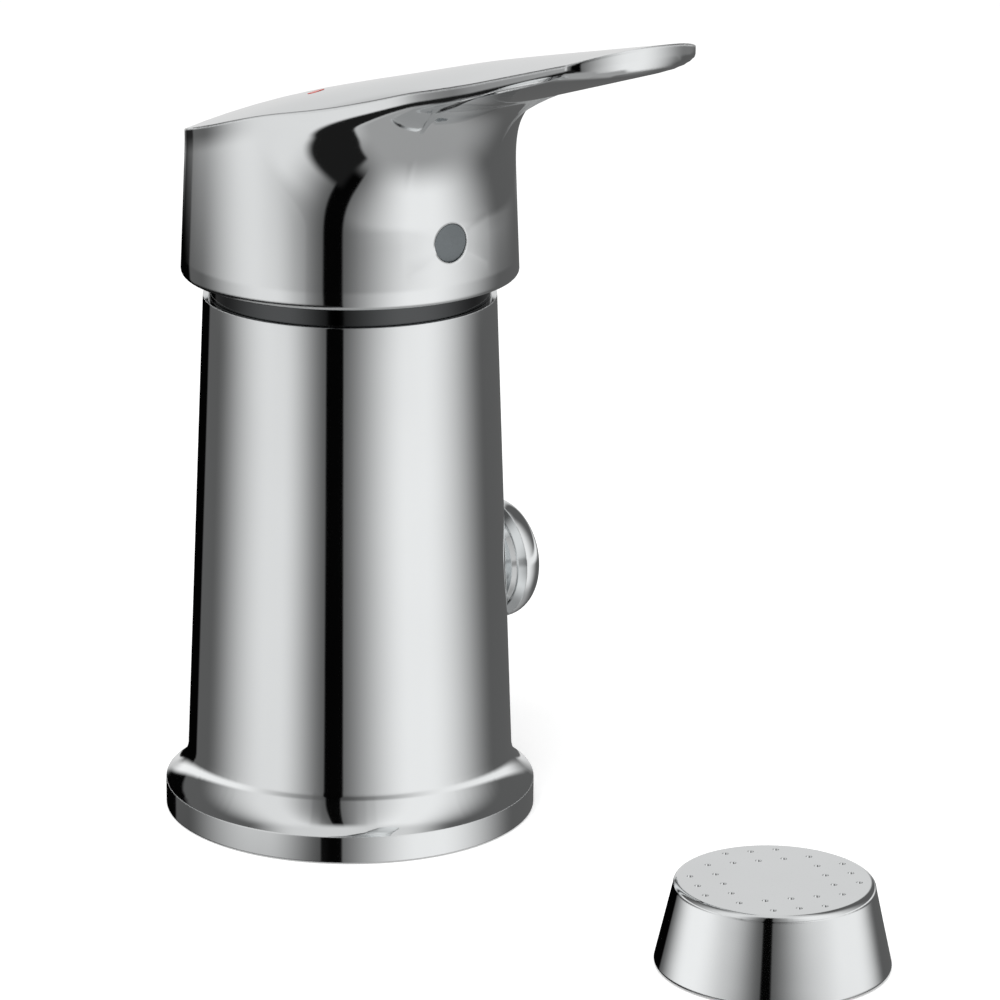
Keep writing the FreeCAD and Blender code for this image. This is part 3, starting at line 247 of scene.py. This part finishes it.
def new_material(name):
    """An empty material and the graph of its nodes."""
    material = bpy.data.materials.new(name)
    material.use_nodes = True
    return material, Graph(material.node_tree)


def make_light(name, place, target, size, watts):
    """A round lamp that no mirror shows."""
    light = bpy.data.lights.new(name, "AREA")
    light.shape = "DISK"
    light.size = size
    light.energy = watts
    lamp = add_object(name, light)
    lamp.location = place
    aim = [there - here for here, there in zip(place, target)]
    turn = math.atan2(aim[0], -aim[1])
    tilt = math.atan2(math.hypot(aim[0], aim[1]), -aim[2])
    lamp.rotation_euler = (tilt, 0.0, turn + math.pi)
    lamp.visible_glossy = False


def make_floor():
    """A pale floor just under the deck, lifted to near white where the camera sees it."""
    half = FLOOR_HALF
    corners = [(-half, -half, 0.0), (half, -half, 0.0), (half, half, 0.0), (-half, half, 0.0)]
    floor = add_mesh("floor", corners, [(0, 1, 2, 3)])
    floor.location.z = -FLOOR_DROP
    floor.visible_glossy = False
    material, graph = new_material("pale_floor")
    rays = graph.add("ShaderNodeLightPath")
    matt = graph.add("ShaderNodeBsdfDiffuse", {"Color": FLOOR_GREY})
    glow = graph.add("ShaderNodeEmission", {"Color": WHITE, "Strength": FLOOR_GLOW})
    seen = graph.add("ShaderNodeAddShader", {0: matt.outputs[0], 1: glow.outputs[0]})
    mix = graph.add("ShaderNodeMixShader", {0: rays.outputs["Is Camera Ray"],
                                            1: matt.outputs[0], 2: seen.outputs[0]})
    graph.add("ShaderNodeOutputMaterial", {"Surface": mix.outputs[0]})
    floor.data.materials.append(material)


def make_camera():
    """The photo's camera, shifted sideways because the column stands left of its middle."""
    data = bpy.data.cameras.new("camera")
    data.sensor_width = SENSOR
    data.lens = FOCAL_PIXELS / IMAGE_PIXELS * SENSOR
    data.shift_x = 0.5 - AXIS_PIXEL / IMAGE_PIXELS
    data.clip_start = CLIP_NEAR
    data.clip_end = CLIP_FAR
    camera = add_object("camera", data)
    camera.location = (TOWARDS[0] * CAMERA_DISTANCE, TOWARDS[1] * CAMERA_DISTANCE, CAMERA_HEIGHT)
    camera.rotation_euler = (math.pi / 2 - CAMERA_PITCH, 0.0, CAMERA_TURN)
    bpy.context.scene.camera = camera


def finish_material(name, color, metallic, roughness, spread, scale, bump, stretch=(1, 1, 1),
                    tint=0.0, edge=0.0002):
    """Principled material whose roughness, colour and surface vary with a noise.

    roughness +- spread follows a noise of the given scale per metre; bump is the height in
    metres of a finer noise; tint is how far the colour swings; edge is the radius in metres
    to which sharp edges look polished."""
    material, graph = new_material(name)
    cloud = graph.noise(scale, CLOUD_DETAIL, stretch)
    fine = graph.noise(scale * FINE_SCALE, FINE_DETAIL, stretch)
    rough = graph.ramp(cloud, CLOUD_LOW, CLOUD_HIGH, roughness - spread, roughness + spread)
    dark = tuple(part * (1.0 - tint) for part in color)
    light = tuple(min(1.0, part * (1.0 + tint)) for part in color)
    hue = graph.tint(graph.ramp(cloud, CLOUD_LOW, CLOUD_HIGH), dark, light)
    rounded = graph.add("ShaderNodeBevel", {"Radius": edge}, samples=BEVEL_SAMPLES)
    relief = graph.add("ShaderNodeBump", {"Height": fine, "Strength": 1.0, "Distance": bump,
                                          "Normal": rounded.outputs[0]})
    shader = graph.add("ShaderNodeBsdfPrincipled", {
        "Base Color": hue, "Roughness": rough, "Metallic": metallic,
        "Normal": relief.outputs[0]})
    graph.add("ShaderNodeOutputMaterial", {"Surface": shader.outputs[0]})
    return material


FINISHES = {
    "chrome_body": dict(color=CHROME, metallic=1.0, roughness=0.045, spread=0.012, scale=40.0,
                        bump=2e-7, tint=0.012),
    "chrome_lever": dict(color=CHROME, metallic=1.0, roughness=0.045, spread=0.012, scale=50.0,
                         bump=2e-7, tint=0.012, edge=0.0005),
    # chrome_trim is near-black metal, far darker than chrome: painted shade of the groove between
    # body and cap, on the ring that sits in it
    "chrome_trim": dict(color=(0.085, 0.088, 0.09), metallic=1.0, roughness=0.10, spread=0.03,
                        scale=80.0, bump=4e-7, tint=0.03),
    "chrome_knob": dict(color=CHROME, metallic=1.0, roughness=0.05, spread=0.015, scale=90.0,
                        bump=2e-7, tint=0.012),
    "chrome_rose": dict(color=CHROME, metallic=1.0, roughness=0.05, spread=0.015, scale=70.0,
                        bump=2e-7, tint=0.012),
    "brass": dict(color=(0.72, 0.53, 0.27), metallic=1.0, roughness=0.28, spread=0.06,
                  scale=160.0, bump=3e-6, stretch=(1, 1, 6), tint=0.06),
    "steel": dict(color=(0.60, 0.60, 0.61), metallic=1.0, roughness=0.30, spread=0.06,
                  scale=200.0, bump=2e-6, tint=0.04),
    "rubber_black": dict(color=(0.028, 0.028, 0.030), metallic=0.0, roughness=0.62, spread=0.08,
                         scale=220.0, bump=8e-6, tint=0.2),
    "plastic_white": dict(color=(0.80, 0.80, 0.77), metallic=0.0, roughness=0.42, spread=0.05,
                          scale=120.0, bump=4e-6, tint=0.02),
    "plastic_grey": dict(color=(0.36, 0.37, 0.38), metallic=0.0, roughness=0.45, spread=0.05,
                         scale=120.0, bump=4e-6, tint=0.04),
    "ceramic": dict(color=(0.88, 0.88, 0.85), metallic=0.0, roughness=0.12, spread=0.03,
                    scale=150.0, bump=5e-7, tint=0.015),
    "cover_grey": dict(color=(0.165, 0.185, 0.195), metallic=0.0, roughness=0.46, spread=0.05,
                       scale=300.0, bump=3e-6, tint=0.05),
    "enamel_red": dict(color=(0.72, 0.10, 0.08), metallic=0.0, roughness=0.22, spread=0.04,
                       scale=400.0, bump=1e-6, tint=0.04),
    "enamel_blue": dict(color=(0.08, 0.22, 0.60), metallic=0.0, roughness=0.22, spread=0.04,
                        scale=400.0, bump=1e-6, tint=0.04),
}


def dress_nodes(lever, spring):
    """Give every node and own piece the finish of its material slot."""
    finishes = {name: finish_material(name, **facts) for name, facts in FINISHES.items()}
    for part in frame["record"]["subparts"]:
        node = NODES[part["node"]]
        node.data.materials.clear()
        node.data.materials.append(finishes[part["material_slot"]])
        # The photo joins two shots, so its mixer doesn't mirror the rose.
        node.visible_glossy = not part["node"].startswith("rose_")
    lever.data.materials.append(finishes["chrome_lever"])
    spring.data.materials.append(finishes["steel"])


# Own pieces are worked out in millimetres.
PER_METRE = 1000

# The lever's form, with the sizes of the part's source but for the lip, the widening neck and
# a crown that is lower along the blade's edges, which only this skin has. A reach is a distance
# from the cap's axis towards the tip, a level is a height over the deck, and a turn in plan is
# counted from the front.
CAP_FOOT, CAP_RADIUS, CAP_TAPER = 79.8, 24.15, math.radians(2.46)
FOOT_EDGE = 0.7
SWEEP_FOOT, SWEEP_RADIUS, UNDERSIDE = 90.6, 19.5, math.radians(18.4)
REACH, NOSE = 66.8, math.radians(33.0)
SWEEP_START = CAP_RADIUS - math.tan(CAP_TAPER) * (SWEEP_FOOT - CAP_FOOT)
SWEEP_REACH = SWEEP_START + SWEEP_RADIUS * math.cos(CAP_TAPER)
SWEEP_LEVEL = SWEEP_FOOT + SWEEP_RADIUS * math.sin(CAP_TAPER)
BLADE_REACH = SWEEP_REACH - SWEEP_RADIUS * math.sin(UNDERSIDE)
BLADE_LEVEL = SWEEP_LEVEL + SWEEP_RADIUS * math.cos(UNDERSIDE)
# Rise of the blade's underside to full reach, and the share of it that rounds off the tip
UNDER_RISE, TIP_EASE = 9.0, 0.1
# Along the underside: share of the way, share of the nose turn
TURNS = ((0.0, 1.0), (0.35, 1.0), (0.55, 0.97), (0.74, 0.9), (0.88, 0.8), (1.0, 0.7))

# The rim's level over the cap's axis, 0.05 mm under the source's so that the index marks show,
# its slope, the edge's height, and the crest's height over the cap
RIM_LEVEL, RIM_SLOPE, RIM_EDGE, CREST_HEIGHT = 103.45, 0.253, 0.45, 2.95
# Rise of the rim over the feet of cap and sweep, and half the crown's width at the latter
RIM_RISE, BLADE_RISE, CROWN_HALF = 23.7, 12.9, 13.9
CAP_TOP = CAP_RADIUS - math.tan(CAP_TAPER) * RIM_RISE
BLADE_TOP = CROWN_HALF - math.tan(CAP_TAPER) * BLADE_RISE
# Stations of the crown over the cap, as shares of the cap's radius
CAP_STATIONS = (-1.1, -0.75, -0.4, 0.0)
# Along the blade: share of the reach, share of the way to the cap's width, crest, lip
TOP_STATIONS = ((0.16, 0.78, 3.00, 0.00), (0.32, 0.16, 3.02, 0.00), (0.50, -0.10, 3.00, 0.00),
                (0.68, -0.08, 2.62, 0.10), (0.84, -0.20, 2.20, 0.70), (1.04, -0.50, 1.60, 1.20))

# The upright lip under the rim and its blend into the sweep: heights over the cap, how much
# less they are at the tip, and the reaches over which they shrink
LIP, BLEND, LIP_LOSS, BLEND_LOSS = 1.15, 2.2, 0.75, 0.9
LIP_FROM, LIP_OVER = 28.0, 34.0
# Neck turn in degrees at the sweep's foot, its gain, and the levels over which it grows
NECK_TURN, NECK_GAIN = 51.0, 21.0
NECK_FROM, NECK_OVER = 91.0, 13.0

# The screw cover's hole, and the inside of the cap as (radius, level) from the hollow's top
# down the boss and up into its socket
COVER_LEVEL, COVER_RADIUS, HOLLOW = 88.3, 2.75, 21.9
INSIDE = ((HOLLOW, 92.2), (8.4, 92.2), (8.4, 86.0), (5.2, 86.0), (5.2, 93.0))

# The skin's mesh: columns round each half of the plan, rows from the foot's edge up to the
# rim, steps across the top, and the block of the front that makes way for the cover's hole
NOSE_COLUMNS, FLANK_COLUMNS, CAP_COLUMNS = 24, 30, 34
COLUMNS = NOSE_COLUMNS + FLANK_COLUMNS + CAP_COLUMNS
WALL_ROWS, SWEEP_ROWS, BLADE_ROWS, BLEND_ROWS, EDGE_ROWS = 5, 20, 16, 8, 5
TOP_STEPS = 12
HOLE_FIRST, HOLE_LAST, HOLE_SPAN = 2, 6, 13
HOLE_STEPS = (0.4, 0.75, 1.0)
SHARP_ANGLE = math.radians(24.0)
# Levels between which the rim is sought, how often the span is halved, and the half turn in
# radians under which a flank counts as straight
RIM_LOWEST, RIM_HIGHEST, HALVINGS, STRAIGHT = 80.0, 130.0, 50, 1e-5

# The diverter's spring: ends along the knob's axis, that axis' level, radii of coil and wire,
# turns, and steps along and around the wire
SPRING_START, SPRING_END, SPRING_LEVEL = 1.3, 13.6, 32.4
COIL, WIRE, SPRING_TURNS = 2.75, 0.3, 6
WIRE_STEPS, WIRE_SIDES = 144, 8


class Spline:
    """Natural cubic through (place, value) pairs."""

    def __init__(self, pairs):
        self.x, self.y = [p[0] for p in pairs], [p[1] for p in pairs]
        count = len(pairs)
        gaps = [b - a for a, b in zip(self.x, self.x[1:])]
        above, right = [0.0] * count, [0.0] * count
        for i in range(1, count - 1):
            jump = ((self.y[i + 1] - self.y[i]) / gaps[i]
                    - (self.y[i] - self.y[i - 1]) / gaps[i - 1]) * 6
            pivot = 2 * (gaps[i - 1] + gaps[i]) - gaps[i - 1] * above[i - 1]
            above[i] = gaps[i] / pivot
            right[i] = (jump - gaps[i - 1] * right[i - 1]) / pivot
        self.bend = [0.0] * count
        for i in range(count - 2, 0, -1):
            self.bend[i] = right[i] - above[i] * self.bend[i + 1]

    def at(self, place):
        i = max([k for k in range(len(self.x) - 1) if self.x[k] <= place] or [0])
        gap = self.x[i + 1] - self.x[i]
        b = (place - self.x[i]) / gap
        a = 1.0 - b
        return (a * self.y[i] + b * self.y[i + 1]
                + ((a ** 3 - a) * self.bend[i] + (b ** 3 - b) * self.bend[i + 1]) * gap * gap / 6)


def top_splines():
    """Crest height and curvature of the crowned top against the reach."""
    dome = CAP_TOP ** 2 / (2 * CREST_HEIGHT)
    crests, curves = [], []
    for share in CAP_STATIONS:
        reach = CAP_TOP * share
        crests.append((reach, RIM_EDGE + (CAP_TOP ** 2 - reach ** 2) / (dome * 2)))
        curves.append((reach, 1.0 / dome))
    for share, width, crest, lip in TOP_STATIONS:
        half, rise = BLADE_TOP + (CAP_TOP - BLADE_TOP) * width, crest - lip
        crests.append((REACH * share, RIM_EDGE + crest))
        curves.append((REACH * share, rise * 2 / (half * half + rise * rise)))
    return Spline(crests), Spline(curves)


CREST, CURVE = top_splines()
TURN = Spline(TURNS)


def top_level(x, reach):
    """Height of the lever's crowned, tilted top."""
    curve = CURVE.at(reach)
    drop = x * x * curve / (1 + math.sqrt(max(0.0, 1 - (x * curve) ** 2)))
    return RIM_LEVEL + RIM_SLOPE * reach + CREST.at(reach) - drop


def lip_sizes(reach):
    """Height of the upright lip under the rim, and of its blend into the sweep."""
    share = min(1.0, max(0.0, (reach - LIP_FROM) / LIP_OVER))
    return LIP - LIP_LOSS * share, BLEND - BLEND_LOSS * share


def neck_turn(level):
    """Turn from the front at which the flank leaves the cap; it grows with the sweep."""
    share = min(1.0, max(0.0, (level - NECK_FROM) / NECK_OVER))
    return math.radians(NECK_TURN + NECK_GAIN * share * share * (3.0 - 2.0 * share))


# Level at which the lip's blend starts at the tip
LAST_START = top_level(0.0, REACH) - sum(lip_sizes(REACH))


def plan_facts(level):
    """Cap radius, front reach and nose turn of the plan at a level."""
    radius = CAP_RADIUS - math.tan(CAP_TAPER) * (level - CAP_FOOT)
    if level <= SWEEP_FOOT:
        return radius, radius, NOSE
    if level <= BLADE_LEVEL:
        turn = math.asin((level - SWEEP_LEVEL) / SWEEP_RADIUS)
        return radius, SWEEP_REACH - SWEEP_RADIUS * math.cos(turn), NOSE
    way = share = min(1.0 + TIP_EASE, (level - BLADE_LEVEL) / UNDER_RISE)
    if share > 1.0 - TIP_EASE:
        way = 1.0 - (1.0 + TIP_EASE - share) ** 2 / (4.0 * TIP_EASE)
    return radius, BLADE_REACH + (REACH - BLADE_REACH) * way, NOSE * TURN.at(way)


def plan_arcs(level):
    """Plan at a level: cap radius, front, end of the nose arc, its radius, end of the flank."""
    radius, front, turn = plan_facts(level)
    neck = neck_turn(level)
    foot = (radius * math.sin(neck), radius * math.cos(neck))
    # The pivot that turns the front onto the flank's foot
    aside = 1.0 / (2.0 * math.tan(neck / 2.0))
    pivot = (foot[0] / 2 - (front - foot[1]) * aside, (foot[1] + front) / 2 - foot[0] * aside)
    away = (-pivot[0], front - pivot[1])
    touch = (pivot[0] + away[0] * math.cos(turn) + away[1] * math.sin(turn),
             pivot[1] - away[0] * math.sin(turn) + away[1] * math.cos(turn))
    nose = (touch[0] ** 2 + (front - touch[1]) ** 2) / (2 * (front - touch[1]))
    return radius, front, touch, nose, foot


def plan_point(level, column):
    """Point (x, reach) of a column of the half contour, from the front round to the back."""
    radius, front, touch, nose, foot = plan_arcs(level)
    if column <= NOSE_COLUMNS:
        end = math.atan2(touch[0], touch[1] - (front - nose))
        turn = end * column / NOSE_COLUMNS
        return nose * math.sin(turn), front - nose + nose * math.cos(turn)
    column -= NOSE_COLUMNS
    neck = neck_turn(level)
    if column > FLANK_COLUMNS:
        turn = neck + (math.pi - neck) * (column - FLANK_COLUMNS) / CAP_COLUMNS
        return radius * math.sin(turn), radius * math.cos(turn)
    dx, dy = foot[0] - touch[0], foot[1] - touch[1]
    chord = math.hypot(dx, dy)
    inward = dx * math.sin(neck) + dy * math.cos(neck)
    half = math.asin(max(-1.0, min(1.0, inward / chord)))
    share = 2.0 * column / FLANK_COLUMNS - 1.0
    if abs(half) < STRAIGHT:
        along, aside = share, 0.0
    else:
        along = math.sin(half * share) / math.sin(half)
        aside = (math.cos(half * share) - math.cos(half)) / (2 * math.sin(half))
    across, out = chord * (along + 1) / 2, chord * aside
    return (touch[0] + (dx * across - dy * out) / chord,
            touch[1] + (dy * across + dx * out) / chord)


def front_reach(x, level):
    """Reach of the nose of the outer wall at a place across it."""
    front, nose = plan_arcs(level)[1], plan_arcs(level)[3]
    return front - nose + math.sqrt(nose * nose - x * x)


def hollow_reach(x, level):
    """Reach of the hollow's wall, which is the same at every level."""
    return math.sqrt(HOLLOW * HOLLOW - x * x)


def column_rows(column):
    """(level, level of the plan) of a column's rows, from the foot's edge to the rim.

    Near the rim the plan stops growing, so that an upright lip ends the sweep."""
    low, high = RIM_LOWEST, RIM_HIGHEST
    for _ in range(HALVINGS):
        middle = (low + high) / 2
        x, reach = plan_point(middle, column)
        lip, blend = lip_sizes(reach)
        if middle < top_level(x, reach) - lip - blend / 2:
            low = middle
        else:
            high = middle
    rim = low + lip + blend / 2
    start = rim - lip - blend
    share = (BLADE_LEVEL - SWEEP_FOOT) / (LAST_START - SWEEP_FOOT)
    bend = SWEEP_FOOT + (start - SWEEP_FOOT) * share
    foot = CAP_FOOT + FOOT_EDGE
    rows = [foot + (SWEEP_FOOT - foot) * i / WALL_ROWS for i in range(WALL_ROWS)]
    last = math.pi / 2 - UNDERSIDE
    rows += [SWEEP_FOOT + (bend - SWEEP_FOOT) * math.sin(last * i / SWEEP_ROWS) / math.sin(last)
             for i in range(SWEEP_ROWS)]
    rows += [bend + (start - bend) * i / BLADE_ROWS for i in range(BLADE_ROWS)]
    rows = [(level, level) for level in rows]
    for i in range(BLEND_ROWS + 1):
        rise = blend * i / BLEND_ROWS
        rows.append((start + rise, start + rise - rise * rise / (2 * blend)))
    return rows + [(rim, low)]


class LeverSkin:
    """Points and faces of the cap and blade.

    A line is a dict from column to point. The columns at negative x have negative numbers."""

    ring = list(range(COLUMNS + 1)) + [-column for column in range(COLUMNS - 1, 0, -1)]

    def __init__(self):
        self.points, self.faces = [], []
        self.skin = self.wall_lines()
        gap = [(c, c + 1) for c in range(-HOLE_SPAN, HOLE_SPAN)]
        for row in range(len(self.skin) - 1):
            skip = gap if HOLE_FIRST <= row < HOLE_LAST else ()
            self.join(self.skin[row + 1], self.skin[row], skip)
        hollow = self.cover_hole(gap)
        self.inside(hollow)
        self.top()

    def add(self, x, reach, level):
        """A new point's number."""
        self.points.append((x / PER_METRE, -reach / PER_METRE, level / PER_METRE))
        return len(self.points) - 1

    def place(self, index):
        """A point's (x, reach, level)."""
        x, y, z = self.points[index]
        return x * PER_METRE, -y * PER_METRE, z * PER_METRE

    def wall_lines(self):
        """Lines of the outer wall, from the foot's edge up to the rim."""
        rows = [column_rows(column) for column in range(COLUMNS + 1)]
        lines = []
        for row in range(len(rows[0])):
            line = {}
            for column in self.ring:
                level, plan = rows[abs(column)][row]
                x, reach = plan_point(plan, abs(column))
                line[column] = self.add(-x if column < 0 else x, reach, level)
            lines.append(line)
        return lines

    def circle(self, radius, level):
        """A round line with a point in the direction of each column's foot."""
        line = {}
        for column in self.ring:
            x, reach = plan_point(CAP_FOOT, abs(column))
            turn = math.atan2(-x if column < 0 else x, reach)
            line[column] = self.add(radius * math.sin(turn), radius * math.cos(turn), level)
        return line

    def join(self, upper, lower, skip=()):
        """Faces between two lines, but for the pairs of columns to skip."""
        for here, there in zip(self.ring, self.ring[1:] + self.ring[:1]):
            if (here, there) not in skip:
                self.faces.append((upper[here], upper[there], lower[there], lower[here]))

    def chain(self, line, circles):
        """Join a line to a row of circles, given as (radius, level); gives the last one."""
        for radius, level in circles:
            below = self.circle(radius, level)
            self.join(line, below)
            line = below
        return line

    def stitch(self, outer, inner):
        """Faces between two closed loops of as many points."""
        for i in range(len(outer)):
            j = (i + 1) % len(outer)
            self.faces.append((outer[i], outer[j], inner[j], inner[i]))

    def round_hole(self, lines, wall):
        """Fill the block cut from some lines of a wall up to the cover's hole; gives its edge."""
        block = [lines[0][c] for c in range(-HOLE_SPAN, HOLE_SPAN + 1)]
        block += [line[HOLE_SPAN] for line in lines[1:-1]]
        block += [lines[-1][c] for c in range(HOLE_SPAN, -HOLE_SPAN - 1, -1)]
        block += [line[-HOLE_SPAN] for line in lines[-2:0:-1]]
        before = block
        for share in HOLE_STEPS:
            after = []
            for index in block:
                x, _, level = self.place(index)
                pull = share * (1.0 - COVER_RADIUS / math.hypot(x, level - COVER_LEVEL))
                x, level = x - x * pull, level - (level - COVER_LEVEL) * pull
                after.append(self.add(x, wall(x, level), level))
            self.stitch(before, after)
            before = after
        return before

    def cover_hole(self, gap):
        """The screw cover's hole through the front; gives the lines of the hollow's wall."""
        front = self.skin[HOLE_FIRST:HOLE_LAST + 1]
        hollow = [self.circle(HOLLOW, self.place(line[0])[2]) for line in front]
        self.stitch(self.round_hole(front, front_reach), self.round_hole(hollow, hollow_reach))
        for upper, lower in zip(hollow, hollow[1:]):
            self.join(upper, lower, gap)
        return hollow

    def inside(self, hollow):
        """Rounded foot edge, hollow, boss and its socket."""
        radius = CAP_RADIUS - math.tan(CAP_TAPER) * FOOT_EDGE
        edge = [(radius - FOOT_EDGE * (1 - math.cos(a)), CAP_FOOT + FOOT_EDGE * (1 - math.sin(a)))
                for a in (math.pi * i / (2 * EDGE_ROWS) for i in range(1, EDGE_ROWS + 1))]
        line = self.chain(self.skin[0], edge + [(HOLLOW, CAP_FOOT)])
        self.join(line, hollow[0])
        line = self.chain(hollow[-1], INSIDE)
        self.faces.append(tuple(line[c] for c in self.ring))

    def top_line(self, column):
        """Points across the crowned top between the two sides of the rim."""
        rim = self.skin[-1]
        x, reach, _ = self.place(rim[-column])
        places = [x * (1 - 2 * i / TOP_STEPS) for i in range(1, TOP_STEPS)]
        inner = [self.add(x, reach, top_level(x, reach)) for x in places]
        return [rim[-column]] + inner + [rim[column]]

    def top(self):
        """The crowned top, in rows across the lever."""
        rim = self.skin[-1]
        before = [rim[0]] * (TOP_STEPS + 1)
        for column in range(1, COLUMNS + 1):
            after = [rim[COLUMNS]] * (TOP_STEPS + 1)
            if column < COLUMNS:
                after = self.top_line(column)
            for i in range(TOP_STEPS):
                corners = [before[i], before[i + 1], after[i + 1], after[i]]
                self.faces.append(tuple(v for k, v in enumerate(corners) if v not in corners[:k]))
            before = after


def make_lever():
    """The cap and blade of lever_handle with a smooth skin, a lip and a wider neck."""
    form = LeverSkin()
    lever = add_mesh("lever_skin", form.points, form.faces)
    lever.data.validate()
    lever.data.shade_smooth()
    work = bmesh.new()
    work.from_mesh(lever.data)
    bmesh.ops.recalc_face_normals(work, faces=work.faces)
    work.to_mesh(lever.data)
    work.free()
    lever.data.set_sharp_from_angle(angle=SHARP_ANGLE)
    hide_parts("lever_handle")
    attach(lever, "lever")
    return lever


def spring_points():
    """Rings of points round the coiled wire, from the column's middle outwards."""
    length = SPRING_END - SPRING_START
    slope = math.atan(length / (SPRING_TURNS * 2 * math.pi * COIL))
    points = []
    for step in range(WIRE_STEPS + 1):
        turn = 2 * math.pi * SPRING_TURNS * step / WIRE_STEPS
        along = SPRING_START + length * step / WIRE_STEPS
        for side in range(WIRE_SIDES):
            angle = 2 * math.pi * side / WIRE_SIDES
            out, lean = COIL + WIRE * math.cos(angle), WIRE * math.sin(angle)
            back = turn - lean * math.sin(slope) / COIL
            points.append(((along + lean * math.cos(slope)) / PER_METRE,
                           out * math.cos(back) / PER_METRE,
                           (SPRING_LEVEL + out * math.sin(back)) / PER_METRE))
    return points


def make_spring():
    """The diverter's spring as a fixed coil, though the real one shortens as the knob is pulled."""
    faces = []
    for step in range(WIRE_STEPS):
        near, far = step * WIRE_SIDES, (step + 1) * WIRE_SIDES
        for side in range(WIRE_SIDES):
            after = (side + 1) % WIRE_SIDES
            faces.append((near + side, far + side, far + after, near + after))
    last = WIRE_STEPS * WIRE_SIDES
    faces.append(tuple(range(WIRE_SIDES)))
    faces.append(tuple(range(last + WIRE_SIDES - 1, last - 1, -1)))
    spring = add_mesh("spring_coil", spring_points(), faces)
    spring.data.shade_smooth()
    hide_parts("diverter_spring")
    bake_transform(spring)
    return spring


bpy.context.scene.view_settings.view_transform = "Standard"
make_camera()
make_world()
make_light("overhead", place=(-0.35, -0.35, 1.1), target=(0.0, -0.03, 0.0), size=0.9, watts=9.0)
make_floor()
dress_nodes(make_lever(), make_spring())
